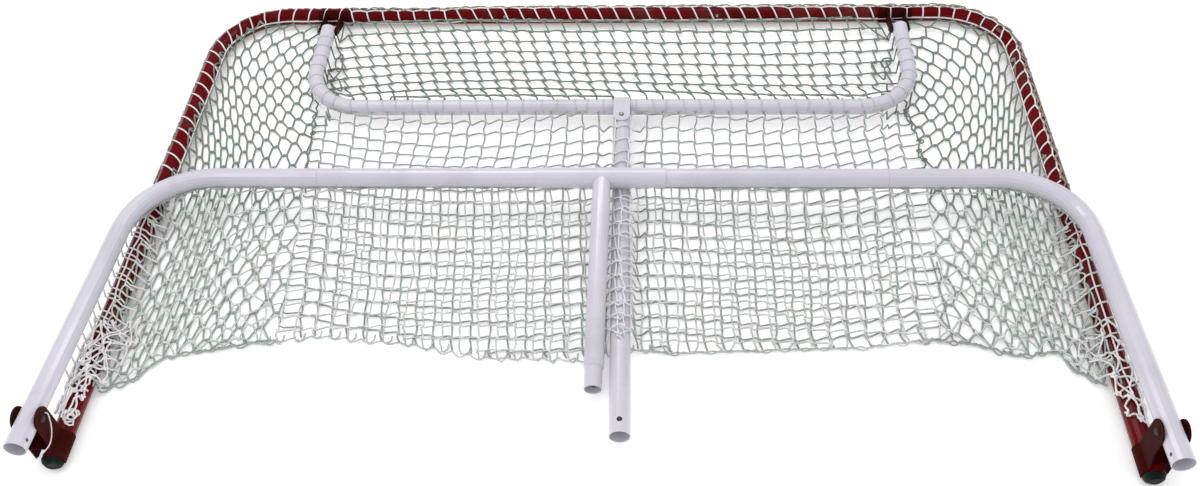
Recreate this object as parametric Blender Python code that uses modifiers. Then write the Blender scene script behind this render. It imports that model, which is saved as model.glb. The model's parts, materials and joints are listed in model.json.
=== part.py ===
"""Folding steel ice hockey goal, lying folded on its front face.

X runs across the goal, Y from the post feet towards the crossbar and Z up, away from the floor.
The origin is on the floor, in the middle of the folded goal.
The front frame lies on the floor. The base folds about bolts in two channel brackets near the feet,
the shelf folds about lugs under the crossbar, and the rear upright hangs from the shelf rail in a strap.
Erected, the riser on the base rail plugs into the upright's open end, where its snap button locks.
"""

import math

import bmesh
import bpy
from mathutils import Matrix, Vector

# Tubes, all sizes in metres
TUBE = 0.0381
WALL = 0.0012
SHELF_TUBE = 0.0349
RISER_TUBE = 0.0368
UPRIGHT_WALL = 0.0010
GAP = 0.0004

# Front frame, whose middle sits a little to the right of the base's
FRAME_X = 0.0045
POST_SPACING = 1.866
CROSSBAR_Y = 0.6276
POST_CORNER = 0.150
CROSSBAR_SEAM = 0.244
FOOT_Y = -0.6109
FRAME_Z = TUBE / 2

# Base, folded down over the frame
BASE_SPACING = 1.890
BASE_PIVOT = Vector((0.0, -0.5794, 0.105))
BASE_RAIL = Vector((0.0045, 0.0276, 0.069))
BASE_CORNER = 0.152
BASE_STUB = 0.0617
BASE_SEAM = 0.5795

# Tee sleeve and riser on the base rail
SLEEVE_RADIUS = 0.0210
SLEEVE_BORE = 0.01975
SLEEVE_ENDS = (-0.1295, 0.1345)
RISER_TIP = Vector((0.0025, -0.4544, 0.0215))
SWAGE = 0.0330
SWAGE_LENGTH = 0.042
BUTTON_FROM_TIP = 0.0154
BUTTON_DIAMETER = 0.0068
BUTTON_OUT = 0.0045

# Shelf, folded down inside the frame
SHELF_X = 0.007
SHELF_SPACING = 1.350
SHELF_PIVOT = Vector((0.0, 0.5416, 0.040))
SHELF_RAIL = Vector((0.0, 0.2836, 0.030))
SHELF_CORNER = 0.120
SHELF_ARM_END = 0.0075

# Rear upright and the strap that carries it
UPRIGHT_X = 0.0395
UPRIGHT_MOUTH = Vector((0.0525, -0.5494, 0.0195))
UPRIGHT_BOLT = 0.046
UPRIGHT_TOP = 0.022
SNAP_HOLE = 0.0105
SNAP_HOLE_FROM_MOUTH = 0.0246
STRAP_WIDTH = 0.036
STRAP_THICKNESS = 0.0025

# Sheet metal brackets and fasteners
PLATE = 0.0027
EAR_RADIUS = 0.0212
SADDLE = 0.0022
WEB_TOP = 0.0400
LUG_RADIUS = 0.0098
SADDLE_WIDTH = 0.078
PIVOT_BOLT = 0.0080
SHELF_BOLT = 0.0064

# Net
TWINE = 0.0024
NET_FOLD_Y = -0.2954

COLOURS = {
    "red": ((0.16, 0.006, 0.008, 1.0), 0.35, 0.1),
    "white": ((0.72, 0.70, 0.74, 1.0), 0.32, 0.0),
    "black": ((0.012, 0.016, 0.014, 1.0), 0.6, 0.0),
    "zinc": ((0.55, 0.55, 0.56, 1.0), 0.35, 0.9),
    "dark": ((0.03, 0.03, 0.035, 1.0), 0.45, 0.6),
    "net": ((0.78, 0.80, 0.77, 1.0), 0.85, 0.0),
}


# Scene and materials

def clear_scene():
    for item in list(bpy.data.objects):
        bpy.data.objects.remove(item, do_unlink=True)


def make_collection(name):
    group = bpy.data.collections.new(name)
    bpy.context.scene.collection.children.link(group)
    return group


clear_scene()
PARTS = make_collection("ice_hockey_goal")
CUTTERS = make_collection("cutters")


def material(name):
    found = bpy.data.materials.get(name)
    if found:
        return found
    colour, roughness, metallic = COLOURS[name]
    made = bpy.data.materials.new(name)
    made.use_nodes = True
    shader = made.node_tree.nodes["Principled BSDF"]
    shader.inputs["Base Color"].default_value = colour
    shader.inputs["Roughness"].default_value = roughness
    shader.inputs["Metallic"].default_value = metallic
    return made


# Mesh helpers

def mesh_object(name, mesh, group=PARTS):
    made = bpy.data.objects.new(name, mesh)
    group.objects.link(made)
    return made


def cutter(made):
    """Moves a helper solid to the cutters' collection and hides it from the render."""
    for group in list(made.users_collection):
        group.objects.unlink(made)
    CUTTERS.objects.link(made)
    made.hide_render = True
    made.display_type = "WIRE"
    return made


def as_mesh(source):
    """Turns a curve or modified object into a plain mesh object with welded points."""
    bpy.context.view_layer.update()
    graph = bpy.context.evaluated_depsgraph_get()
    mesh = bpy.data.meshes.new_from_object(source.evaluated_get(graph))
    name, matrix = source.name, source.matrix_world.copy()
    bpy.data.objects.remove(source, do_unlink=True)
    work = bmesh.new()
    work.from_mesh(mesh)
    bmesh.ops.remove_doubles(work, verts=work.verts, dist=1e-6)
    bmesh.ops.recalc_face_normals(work, faces=work.faces)
    work.to_mesh(mesh)
    work.free()
    made = mesh_object(name, mesh)
    made.matrix_world = matrix
    return made


def sweep(name, points, radius, sides=16):
    """A closed rod of the given radius along the points."""
    curve = bpy.data.curves.new(name, "CURVE")
    curve.dimensions = "3D"
    curve.bevel_depth = radius
    curve.bevel_resolution = (sides - 4) // 2
    curve.use_fill_caps = True
    spline = curve.splines.new("POLY")
    spline.points.add(len(points) - 1)
    for point, place in zip(spline.points, points):
        point.co = (*place, 1.0)
    made = bpy.data.objects.new(name, curve)
    PARTS.objects.link(made)
    return as_mesh(made)


def prism(name, outline, thickness, axis="X"):
    """A flat outline of (a, b) points extruded by thickness, centred on the plane across the axis."""
    curve = bpy.data.curves.new(name, "CURVE")
    curve.dimensions = "2D"
    curve.fill_mode = "BOTH"
    curve.extrude = thickness / 2
    spline = curve.splines.new("POLY")
    spline.points.add(len(outline) - 1)
    for point, (a, b) in zip(spline.points, outline):
        point.co = (a, b, 0.0, 1.0)
    spline.use_cyclic_u = True
    made = bpy.data.objects.new(name, curve)
    PARTS.objects.link(made)
    made = as_mesh(made)
    if axis == "X":
        turn = Matrix(((0, 0, 1, 0), (1, 0, 0, 0), (0, 1, 0, 0), (0, 0, 0, 1)))
        made.data.transform(turn)
    return made


def turned(name, profile, sides=24):
    """A solid of revolution about Z from a closed profile of (radius, height) points."""
    mesh = bpy.data.meshes.new(name)
    points = [(radius, 0.0, height) for radius, height in profile]
    count = len(points)
    closed = profile[0][0] > 0 and profile[-1][0] > 0
    edges = [(i, i + 1) for i in range(count - 1)] + ([(count - 1, 0)] if closed else [])
    mesh.from_pydata(points, edges, [])
    made = mesh_object(name, mesh)
    screw = made.modifiers.new("turn", "SCREW")
    screw.steps = sides
    screw.render_steps = sides
    screw.use_merge_vertices = True
    screw.merge_threshold = 0.0001
    return as_mesh(made)


def rod(name, start, end, radius, sides=16):
    """A straight cylinder between two points."""
    start, end = Vector(start), Vector(end)
    line = end - start
    bpy.ops.mesh.primitive_cylinder_add(vertices=sides, radius=radius, depth=line.length)
    made = bpy.context.object
    made.name = name
    turn = line.to_track_quat("Z", "Y").to_matrix().to_4x4()
    made.data.transform(Matrix.Translation((start + end) / 2) @ turn)
    for group in list(made.users_collection):
        group.objects.unlink(made)
    PARTS.objects.link(made)
    return made


def block(name, low, high):
    low, high = Vector(low), Vector(high)
    bpy.ops.mesh.primitive_cube_add(size=1.0)
    made = bpy.context.object
    made.name = name
    size = high - low
    made.data.transform(Matrix.Translation((low + high) / 2) @ Matrix.Diagonal((*size, 1.0)))
    for group in list(made.users_collection):
        group.objects.unlink(made)
    PARTS.objects.link(made)
    return made


def combine(target, tool, operation):
    """Applies a Boolean to the target's mesh and keeps the tool as a hidden cutter."""
    tool = cutter(tool)
    change = target.modifiers.new(operation.lower(), "BOOLEAN")
    change.operation = operation
    change.solver = "EXACT"
    change.object = tool
    bpy.context.view_layer.update()
    graph = bpy.context.evaluated_depsgraph_get()
    mesh = bpy.data.meshes.new_from_object(target.evaluated_get(graph))
    target.modifiers.clear()
    target.data = mesh
    return target


def cut(target, tool):
    return combine(target, tool, "DIFFERENCE")


def join(target, tool):
    return combine(target, tool, "UNION")


def keep(target, tool):
    return combine(target, tool, "INTERSECT")


def finish(made, finish_name, name=None):
    """Gives the solid its name and material."""
    if name:
        made.name = name
    made.data.name = made.name
    made.data.materials.clear()
    made.data.materials.append(material(finish_name))
    return made


def hollow_tube(name, points, outer, wall, sides=16):
    """A tube along the points, open at both ends."""
    made = sweep(name, points, outer / 2, sides)
    first, last = Vector(points[0]), Vector(points[-1])
    before = first + (first - Vector(points[1])).normalized() * 0.01
    after = last + (last - Vector(points[-2])).normalized() * 0.01
    inner = sweep(name + "_bore", [before, *points[1:-1], after], outer / 2 - wall, sides)
    return cut(made, inner)


def joint_empty(name, place):
    """An empty on a joint's axis, which carries the pieces that move about it."""
    made = bpy.data.objects.new(name, None)
    made.empty_display_size = 0.05
    PARTS.objects.link(made)
    made.location = place
    bpy.context.view_layer.update()
    return made


def carry(empty, *pieces):
    for piece in pieces:
        piece.parent = empty
        piece.matrix_parent_inverse = empty.matrix_world.inverted()


def arc(centre, radius, start, end, steps):
    """Points on an arc, angles in degrees."""
    turns = [math.radians(start + (end - start) * i / steps) for i in range(steps + 1)]
    return [(centre[0] + radius * math.cos(a), centre[1] + radius * math.sin(a)) for a in turns]


# Front frame

def post_points(side):
    """The tube's centre line from the foot, round the top corner to the crossbar seam."""
    half = POST_SPACING / 2
    corner = arc((half - POST_CORNER, CROSSBAR_Y - POST_CORNER), POST_CORNER, 0, 90, 8)
    flat = [(half, FOOT_Y), *corner, (CROSSBAR_SEAM + GAP / 2, CROSSBAR_Y)]
    return [(FRAME_X + side * x, y, FRAME_Z) for x, y in flat]


def build_front_frame():
    half = CROSSBAR_SEAM - GAP / 2
    ends = [(FRAME_X - half, CROSSBAR_Y, FRAME_Z), (FRAME_X + half, CROSSBAR_Y, FRAME_Z)]
    pieces = [finish(hollow_tube("crossbar", ends, TUBE, WALL), "red")]
    for side, label in ((-1, "left"), (1, "right")):
        post = hollow_tube("post_" + label, post_points(side), TUBE, WALL)
        pieces.append(finish(post, "red"))
        pieces.append(build_foot_plug(side, label))
        pieces.append(build_seam_rivet(side, label))
    return pieces


def build_foot_plug(side, label):
    """A black plastic plug with a rounded head and a flat middle, pushed into the foot of the post."""
    head, shank, depth = TUBE / 2, TUBE / 2 - WALL - 0.0006, 0.020
    profile = [
        (0.0, 0.0115),
        (head * 0.5, 0.0115),
        (head * 0.86, 0.0070),
        (head, 0.0018),
        (head, GAP),
        (shank, GAP),
        (shank * 0.94, -depth),
        (0.0, -depth),
    ]
    plug = turned("foot_plug_" + label, profile, 16)
    plug.data.transform(Matrix.Rotation(math.radians(90), 4, "X"))
    plug.location = (FRAME_X + side * POST_SPACING / 2, FOOT_Y, FRAME_Z)
    return finish(plug, "black")


def build_seam_rivet(side, label):
    """The low round rivet head where the crossbar and corner tubes join."""
    up = math.radians(28)
    outward = Vector((0.0, -math.cos(up), math.sin(up)))
    profile = [(0.0, 0.0020), (0.0022, 0.0015), (0.0036, 0.0004), (0.0036, -0.0002), (0.0, -0.0002)]
    rivet = turned("seam_rivet_" + label, profile, 12)
    rivet.data.transform(outward.to_track_quat("Z", "Y").to_matrix().to_4x4())
    seat = Vector((FRAME_X + side * (CROSSBAR_SEAM + 0.012), CROSSBAR_Y, FRAME_Z))
    rivet.location = seat + outward * (TUBE / 2 + 0.0004)
    return finish(rivet, "zinc")


# Channel brackets of the base, welded on the posts

def inner_ear_outline():
    """The inner side: a round head on a straight strip, which flares forward to the end of the post."""
    y, z = BASE_PIVOT.yz
    head = arc((y, z), EAR_RADIUS, 0, 180, 12)
    return [(y + EAR_RADIUS, 0.0250), *head, (y - EAR_RADIUS, 0.0700), (FOOT_Y + 0.0006, 0.0400),
            (FOOT_Y + 0.0006, 0.0250)]


def outer_ear_outline():
    """The outer side: the same strip, straight down past the post to just above the floor."""
    y, z = BASE_PIVOT.yz
    return [(y + EAR_RADIUS, 0.0060), *arc((y, z), EAR_RADIUS, 0, 180, 12), (y - EAR_RADIUS, 0.0060)]


def build_base_bracket(side, label):
    """A channel on the post: two ears, a web across the post's top and a saddle down its inner side."""
    centre, post = side * BASE_SPACING / 2, FRAME_X + side * POST_SPACING / 2
    y, reach = BASE_PIVOT.y, EAR_RADIUS
    offset = TUBE / 2 + GAP + PLATE / 2
    seat = TUBE / 2 + 0.0003
    inner, outer = centre - side * offset, centre + side * offset
    bracket = rod("base_bracket_" + label, (post, FOOT_Y + 0.0006, FRAME_Z), (post, y + reach, FRAME_Z),
                  seat + SADDLE, 24)
    low_x, high_x = sorted((inner, post - side * 0.03))
    keep(bracket, block("inner_side", (low_x, FOOT_Y - 0.01, 0.0105), (high_x, y + 0.05, 0.05)))
    for place, outline in ((inner, inner_ear_outline()), (outer, outer_ear_outline())):
        ear = prism("ear", outline, PLATE)
        ear.data.transform(Matrix.Translation((place, 0, 0)))
        join(bracket, ear)
    low_x, high_x = sorted((inner, outer))
    web_low = FRAME_Z + TUBE / 2 + 0.0003
    join(bracket, block("web", (low_x, y - reach + 0.0002, web_low), (high_x, y + reach - 0.0002, WEB_TOP)))
    cut(bracket, rod("seat", (post, FOOT_Y - 0.02, FRAME_Z), (post, y + 0.05, FRAME_Z), seat, 24))
    across = [(centre - 0.03, *BASE_PIVOT.yz), (centre + 0.03, *BASE_PIVOT.yz)]
    cut(bracket, rod("hole", *across, PIVOT_BOLT / 2 + 0.0004))
    return finish(bracket, "red")


def build_bolt(name, place, axis, diameter, grip, head_height=0.0035):
    """A bolt with a crowned head. Its shank runs along the axis from the head's seat at place."""
    shank, head = diameter / 2, diameter * 0.88
    profile = [(0.0, head_height), (head * 0.5, head_height * 0.86), (head * 0.9, head_height * 0.45),
               (head, 0.0), (shank, 0.0), (shank, -grip), (0.0, -grip)]
    bolt = turned(name, profile, 12)
    direction = -Vector(axis).normalized()
    bolt.data.transform(direction.to_track_quat("Z", "Y").to_matrix().to_4x4())
    bolt.location = place
    return finish(bolt, "dark")


def build_nut(name, place, axis, diameter, height):
    """A hexagon nut round a shank. Place is the centre of its seat and axis points away from the seat."""
    outer, bore = diameter * 0.95, diameter / 2 + 0.0004
    bpy.ops.mesh.primitive_cylinder_add(vertices=6, radius=outer, depth=height)
    nut = bpy.context.object
    nut.name = name
    for group in list(nut.users_collection):
        group.objects.unlink(nut)
    PARTS.objects.link(nut)
    nut.data.transform(Matrix.Translation((0, 0, height / 2)))
    cut(nut, rod("thread", (0, 0, -0.01), (0, 0, 0.02), bore, 12))
    nut.data.transform(Vector(axis).normalized().to_track_quat("Z", "Y").to_matrix().to_4x4())
    nut.location = place
    return finish(nut, "dark")


def build_base_pivots():
    pieces = []
    for side, label in ((-1, "left"), (1, "right")):
        pieces.append(build_base_bracket(side, label))
        centre = side * BASE_SPACING / 2
        seat = TUBE / 2 + GAP + PLATE + 0.0003
        inner = Vector((centre - side * seat, *BASE_PIVOT.yz))
        outer = Vector((centre + side * seat, *BASE_PIVOT.yz))
        grip = 2 * seat + 0.0075
        pieces.append(build_bolt("pivot_bolt_" + label, inner, (side, 0, 0), PIVOT_BOLT, grip))
        pieces.append(build_nut("pivot_nut_" + label, outer, (side, 0, 0), PIVOT_BOLT, 0.0060))
    return pieces


# Lug brackets of the shelf, welded under the crossbar

def build_shelf_bracket(side, label):
    centre = SHELF_X + side * SHELF_SPACING / 2
    near, far = centre - SADDLE_WIDTH / 2, centre + SADDLE_WIDTH / 2
    shell = rod("shelf_bracket_" + label, (near, CROSSBAR_Y, FRAME_Z), (far, CROSSBAR_Y, FRAME_Z),
                TUBE / 2 + 0.0003 + PLATE, 24)
    keep(shell, block("half", (near - 0.01, CROSSBAR_Y - 0.05, 0.0006),
                      (far + 0.01, CROSSBAR_Y - 0.0045, 0.05)))
    offset = SHELF_TUBE / 2 + GAP + PLATE / 2
    head = arc(SHELF_PIVOT.yz, LUG_RADIUS, 100, 260, 8)
    lug = [(CROSSBAR_Y - 0.008, FRAME_Z + 0.019), *head, (CROSSBAR_Y - 0.014, 0.0080)]
    for place in (centre - offset, centre + offset):
        plate = prism("lug", lug, PLATE)
        plate.data.transform(Matrix.Translation((place, 0, 0)))
        join(shell, plate)
    cut(shell, rod("seat", (near - 0.02, CROSSBAR_Y, FRAME_Z), (far + 0.02, CROSSBAR_Y, FRAME_Z),
                   TUBE / 2 + 0.0003, 24))
    cut(shell, rod("hole", (centre - 0.03, *SHELF_PIVOT.yz), (centre + 0.03, *SHELF_PIVOT.yz),
                   SHELF_BOLT / 2 + 0.0004))
    return finish(shell, "red")


def build_shelf_pivots():
    pieces = []
    for side, label in ((-1, "left"), (1, "right")):
        pieces.append(build_shelf_bracket(side, label))
        centre = SHELF_X + side * SHELF_SPACING / 2
        seat = SHELF_TUBE / 2 + GAP + PLATE + 0.0003
        outer = Vector((centre + side * seat, *SHELF_PIVOT.yz))
        inner = Vector((centre - side * seat, *SHELF_PIVOT.yz))
        grip = 2 * seat + 0.0060
        pieces.append(build_bolt("shelf_bolt_" + label, outer, (-side, 0, 0), SHELF_BOLT, grip, 0.0030))
        pieces.append(build_nut("shelf_nut_" + label, inner, (-side, 0, 0), SHELF_BOLT, 0.0050))
    return pieces


# Base

def base_line(y):
    """The height of the folded base's centre line at a distance from the feet."""
    slope = (BASE_RAIL.z - BASE_PIVOT.z) / (BASE_RAIL.y - BASE_PIVOT.y)
    return BASE_PIVOT.z + slope * (y - BASE_PIVOT.y)


def build_base():
    pieces = []
    rail = [(-BASE_SEAM + GAP / 2, *BASE_RAIL.yz), (BASE_SEAM - GAP / 2, *BASE_RAIL.yz)]
    pieces.append(finish(hollow_tube("base_rail", rail, TUBE, WALL, 24), "white"))
    half = BASE_SPACING / 2
    corner = arc((half - BASE_CORNER, BASE_RAIL.y - BASE_CORNER), BASE_CORNER, 0, 90, 8)
    flat = [(half, BASE_PIVOT.y - BASE_STUB), *corner, (BASE_SEAM + GAP / 2, BASE_RAIL.y)]
    for side, label in ((-1, "left"), (1, "right")):
        points = [(side * x, y, base_line(y)) for x, y in flat]
        tube = hollow_tube("base_tube_" + label, points, TUBE, WALL)
        centre = side * half
        across = [(centre - 0.03, *BASE_PIVOT.yz), (centre + 0.03, *BASE_PIVOT.yz)]
        cut(tube, rod("pivot_hole", *across, PIVOT_BOLT / 2 + 0.0004))
        lock_y = BASE_PIVOT.y - BASE_STUB + 0.015
        inward = (centre - side * 0.03, lock_y, base_line(lock_y) + 0.010)
        cut(tube, rod("lock_hole", (centre, lock_y, base_line(lock_y)), inward, 0.0036, 12))
        pieces.append(finish(tube, "white"))
    return pieces


# Tee sleeve, riser and snap button

def riser_frame():
    """The matrix whose Z runs from the base rail to the riser's tip and whose X looks down."""
    along = (RISER_TIP - BASE_RAIL).normalized()
    down = Vector((0, 0, -1))
    down = (down - along * down.dot(along)).normalized()
    third = along.cross(down)
    turn = Matrix((down, third, along)).transposed().to_4x4()
    return Matrix.Translation(BASE_RAIL) @ turn


def build_riser():
    length = (RISER_TIP - BASE_RAIL).length
    frame = riser_frame()
    outer, swage, wall = RISER_TUBE / 2, SWAGE / 2, WALL
    shoulder, ridge = length - SWAGE_LENGTH, length - SWAGE_LENGTH - 0.0120
    outside = [(outer, 0.006), (outer, ridge - 0.0020), (outer + 0.0005, ridge - 0.0008),
               (outer + 0.0005, ridge + 0.0008), (outer, ridge + 0.0020), (outer, shoulder - 0.0030),
               (swage, shoulder), (swage, length)]
    inside = [(swage - wall, length), (swage - wall, shoulder - 0.0010),
              (outer - wall, shoulder - 0.0040), (outer - wall, 0.006)]
    riser = turned("riser_tube", outside + inside, 24)
    button_z = length - BUTTON_FROM_TIP
    cut(riser, rod("button_hole", (0.006, 0, button_z), (0.03, 0, button_z), BUTTON_DIAMETER / 2 + 0.0004, 12))
    riser.matrix_world = frame
    bpy.context.view_layer.update()
    ends = [(place, *BASE_RAIL.yz) for place in SLEEVE_ENDS]
    cope = rod("cope", (-0.16, *BASE_RAIL.yz), (0.16, *BASE_RAIL.yz), SLEEVE_RADIUS + 0.0003, 24)
    cut(riser, cope)
    sleeve = sweep("tee_sleeve", ends, SLEEVE_RADIUS, 24)
    bore = sweep("tee_bore", [(ends[0][0] - 0.01, *ends[0][1:]), (ends[1][0] + 0.01, *ends[1][1:])],
                 SLEEVE_BORE, 24)
    cut(sleeve, bore)
    return [finish(riser, "white"), finish(sleeve, "white"), build_snap_spring(frame, length)]


def build_snap_spring(frame, length):
    """The bent strip that carries the button inside the swaged end."""
    near, bend = length - BUTTON_FROM_TIP - 0.008, length - 0.066
    outline = [(0.0128, near), (0.0035, bend + 0.004), (0.0, bend), (-0.0035, bend + 0.004),
               (-0.0128, near + 0.012)]
    back = [(x * 0.93, z + 0.0014) for x, z in reversed(outline)]
    spring = prism("snap_spring", outline + back, 0.008, "Z")
    spring.data.transform(Matrix.Rotation(math.radians(90), 4, "X"))
    spring.matrix_world = frame
    return finish(spring, "zinc")


def build_snap_button():
    """The sprung button: a domed pin on a flange, which slides in along its own axis."""
    length = (RISER_TIP - BASE_RAIL).length
    radius, surface = BUTTON_DIAMETER / 2, SWAGE / 2
    inside = surface - WALL - 0.0016
    profile = [(0.0, surface + BUTTON_OUT), (radius * 0.6, surface + BUTTON_OUT - 0.0006),
               (radius, surface + BUTTON_OUT - 0.0022), (radius, inside), (radius + 0.0009, inside),
               (radius + 0.0009, inside - 0.0012), (0.0, inside - 0.0012)]
    button = turned("snap_button", profile, 12)
    place = Matrix.Translation((0, 0, length - BUTTON_FROM_TIP))
    button.matrix_world = riser_frame() @ place @ Matrix.Rotation(math.radians(90), 4, "Y")
    return finish(button, "zinc")


# Shelf

def build_shelf():
    half = SHELF_SPACING / 2
    slope = (SHELF_PIVOT.z - SHELF_RAIL.z) / (SHELF_PIVOT.y - SHELF_RAIL.y)
    bend = arc((half - SHELF_CORNER, SHELF_RAIL.y + SHELF_CORNER), SHELF_CORNER, 0, -90, 8)
    right = [(half, SHELF_PIVOT.y + SHELF_ARM_END), *bend]
    flat = [(-x, y) for x, y in right] + right[::-1]
    points = [(SHELF_X + x, y, SHELF_RAIL.z + slope * (y - SHELF_RAIL.y)) for x, y in flat]
    tube = hollow_tube("shelf_tube", points, SHELF_TUBE, WALL)
    for side in (-1, 1):
        arm = SHELF_X + side * half
        across = [(arm - 0.03, *SHELF_PIVOT.yz), (arm + 0.03, *SHELF_PIVOT.yz)]
        cut(tube, rod("shelf_hole", *across, SHELF_BOLT / 2 + 0.0004))
    return [finish(tube, "white")]


# Rear upright in its strap

def strap_frame():
    """The matrix at the shelf rail whose -Y runs down the upright and whose Z looks up."""
    foot = Vector((0.0, UPRIGHT_MOUTH.y - SHELF_RAIL.y, UPRIGHT_MOUTH.z - SHELF_RAIL.z))
    tilt = math.atan2(-foot.z, -foot.y)
    return Matrix.Translation((UPRIGHT_X, *SHELF_RAIL.yz)) @ Matrix.Rotation(tilt, 4, "X")


def build_strap():
    """A flat strap looped over the shelf rail, with two round-ended tails that grip the upright."""
    inner = TUBE / 2 + GAP
    outer = inner + STRAP_THICKNESS
    tail = -UPRIGHT_BOLT - STRAP_WIDTH / 2
    outline = [(tail, outer), *arc((0, 0), outer, 90, -90, 12), (tail, -outer), (tail, -inner),
               *arc((0, 0), inner, -90, 90, 12), (tail, inner)]
    strap = prism("upright_strap", outline, STRAP_WIDTH)
    ends = arc((0, -UPRIGHT_BOLT), STRAP_WIDTH / 2, 180, 360, 10)
    plan = prism("plan", [(STRAP_WIDTH / 2, 0.03), (-STRAP_WIDTH / 2, 0.03), *ends], 0.08, "Z")
    keep(strap, plan)
    hole = rod("strap_hole", (0, -UPRIGHT_BOLT, -0.04), (0, -UPRIGHT_BOLT, 0.04), SHELF_BOLT / 2 + 0.0004)
    cut(strap, hole)
    strap.matrix_world = strap_frame()
    return finish(strap, "white")


def upright_frame():
    """The matrix at the strap bolt whose -Y runs down the upright."""
    mouth = strap_frame().inverted() @ UPRIGHT_MOUTH
    skew = math.atan2(mouth.x, -mouth.y - UPRIGHT_BOLT)
    return strap_frame() @ Matrix.Translation((0, -UPRIGHT_BOLT, 0)) @ Matrix.Rotation(skew, 4, "Z")


def build_upright():
    frame = upright_frame()
    length = (UPRIGHT_MOUTH - frame.to_translation()).length
    top = UPRIGHT_BOLT - UPRIGHT_TOP
    tube = hollow_tube("upright_tube", [(0, top, 0), (0, -length, 0)], TUBE, UPRIGHT_WALL, 24)
    hole_y = -length + SNAP_HOLE_FROM_MOUTH
    cut(tube, rod("snap_hole", (0, hole_y, 0.005), (0, hole_y, 0.03), SNAP_HOLE / 2, 16))
    cut(tube, rod("bolt_hole", (0, 0, -0.03), (0, 0, 0.03), SHELF_BOLT / 2 + 0.0004))
    tube.matrix_world = frame
    seat = TUBE / 2 + GAP + STRAP_THICKNESS + 0.0003
    up = frame.to_3x3() @ Vector((0, 0, 1))
    bolt = build_bolt("strap_bolt", frame @ Vector((0, 0, seat)), -up, SHELF_BOLT, 2 * seat + 0.0036, 0.0032)
    nut = build_nut("strap_nut", frame @ Vector((0, 0, -seat)), -up, SHELF_BOLT, 0.0034)
    return [finish(tube, "white"), bolt, nut]


# Net

def lattice(name, columns, rows, place):
    """A flat net panel: place(u, v) gives the point of each knot, and every edge is one strand."""
    bpy.ops.mesh.primitive_grid_add(x_subdivisions=columns, y_subdivisions=rows, size=1.0)
    made = bpy.context.object
    made.name = name
    for group in list(made.users_collection):
        group.objects.unlink(made)
    PARTS.objects.link(made)
    for knot in made.data.vertices:
        knot.co = place(knot.co.x + 0.5, knot.co.y + 0.5)
    strand = made.modifiers.new("strands", "WIREFRAME")
    strand.thickness = TWINE
    strand.use_replace = True
    strand.use_boundary = True
    strand.use_even_offset = False
    return finish(as_mesh(made), "net")


def top_panel(u, v):
    half = SHELF_SPACING / 2 - SHELF_TUBE / 2 - 0.018
    low, high = SHELF_RAIL.y + SHELF_TUBE / 2 + 0.008, CROSSBAR_Y - TUBE / 2 - 0.010
    corner = SHELF_CORNER * 0.6 * max(0.0, abs(2 * u - 1) - 0.86) / 0.14
    return SHELF_X + (2 * u - 1) * half, low + corner + (high - low - corner) * v, 0.024


def side_panel(side):
    """The net between a post and the shelf's arm, following the frame's round corner."""
    low, inset = BASE_RAIL.y + 0.045, TUBE / 2 + 0.012
    edge = SHELF_SPACING / 2 + SHELF_TUBE / 2 + 0.024
    centre = Vector((POST_SPACING / 2 - POST_CORNER, CROSSBAR_Y - POST_CORNER))
    reach = POST_CORNER - inset
    straight, bend = centre.y - low, reach * math.pi / 2

    def place(u, v):
        run = v * (straight + bend * 0.92)
        if run < straight:
            outer = (POST_SPACING / 2 - inset, low + run)
        else:
            turn = (run - straight) / reach
            outer = (centre.x + reach * math.cos(turn), centre.y + reach * math.sin(turn))
        inner = (edge, low + (SHELF_PIVOT.y + 0.030 - low) * v)
        x = inner[0] + (outer[0] - inner[0]) * u
        return FRAME_X + side * x, inner[1] + (outer[1] - inner[1]) * u, 0.020

    return place


def back_panel(u, v):
    """The single layer from the shelf rail down under the base rail, flat on the floor."""
    y = NET_FOLD_Y + (SHELF_RAIL.y - SHELF_TUBE / 2 - 0.012 - NET_FOLD_Y) * v
    half = 0.63 + 0.27 * min(1.0, max(0.0, (SHELF_RAIL.y - 0.094 - y) / 0.22))
    return FRAME_X + (2 * u - 1) * half, y, 0.0016


def slack_panel(side, start):
    """The slack layer from the base rail down to its fold, on one side of the riser and upright."""
    end = POST_SPACING / 2 - 0.040

    def place(u, v):
        x = start + (end - start) * u
        droop = NET_FOLD_Y - 0.065 - 0.110 * max(0.0, (x - 0.62) / 0.30) ** 1.5
        y = droop + (BASE_RAIL.y - 0.034 - droop) * v
        return FRAME_X + side * x, y, 0.0062 + 0.036 * v ** 1.5

    return place


def build_net():
    top = lattice("net_top", 24, 3, top_panel)
    back = lattice("net_back", 24, 4, back_panel)
    sides = [lattice("net_side_left", 4, 8, side_panel(-1)), lattice("net_side_right", 4, 8, side_panel(1))]
    slack = [lattice("net_slack_left", 11, 3, slack_panel(-1, 0.036)),
             lattice("net_slack_right", 11, 3, slack_panel(1, 0.088))]
    return top, back, sides, slack


# Assembly: each moving set of pieces hangs from an empty on its joint's axis

def main():
    build_front_frame()
    build_base_pivots()
    build_shelf_pivots()
    base_axis = joint_empty("axis_base", BASE_PIVOT)
    riser_axis = joint_empty("axis_riser", BASE_RAIL)
    button_axis = joint_empty("axis_button", riser_frame() @ Vector((0, 0, (RISER_TIP - BASE_RAIL).length
                                                                      - BUTTON_FROM_TIP)))
    shelf_axis = joint_empty("axis_shelf", SHELF_PIVOT)
    strap_axis = joint_empty("axis_strap", (UPRIGHT_X, *SHELF_RAIL.yz))
    upright_axis = joint_empty("axis_upright", upright_frame().to_translation())
    top, back, sides, slack = build_net()
    carry(base_axis, *build_base(), *slack, riser_axis)
    carry(riser_axis, *build_riser(), button_axis)
    carry(button_axis, build_snap_button())
    carry(shelf_axis, *build_shelf(), top, strap_axis)
    carry(strap_axis, build_strap(), upright_axis)
    carry(upright_axis, *build_upright(), back)
    bpy.context.view_layer.update()


if __name__ == "__main__":
    main()
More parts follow.
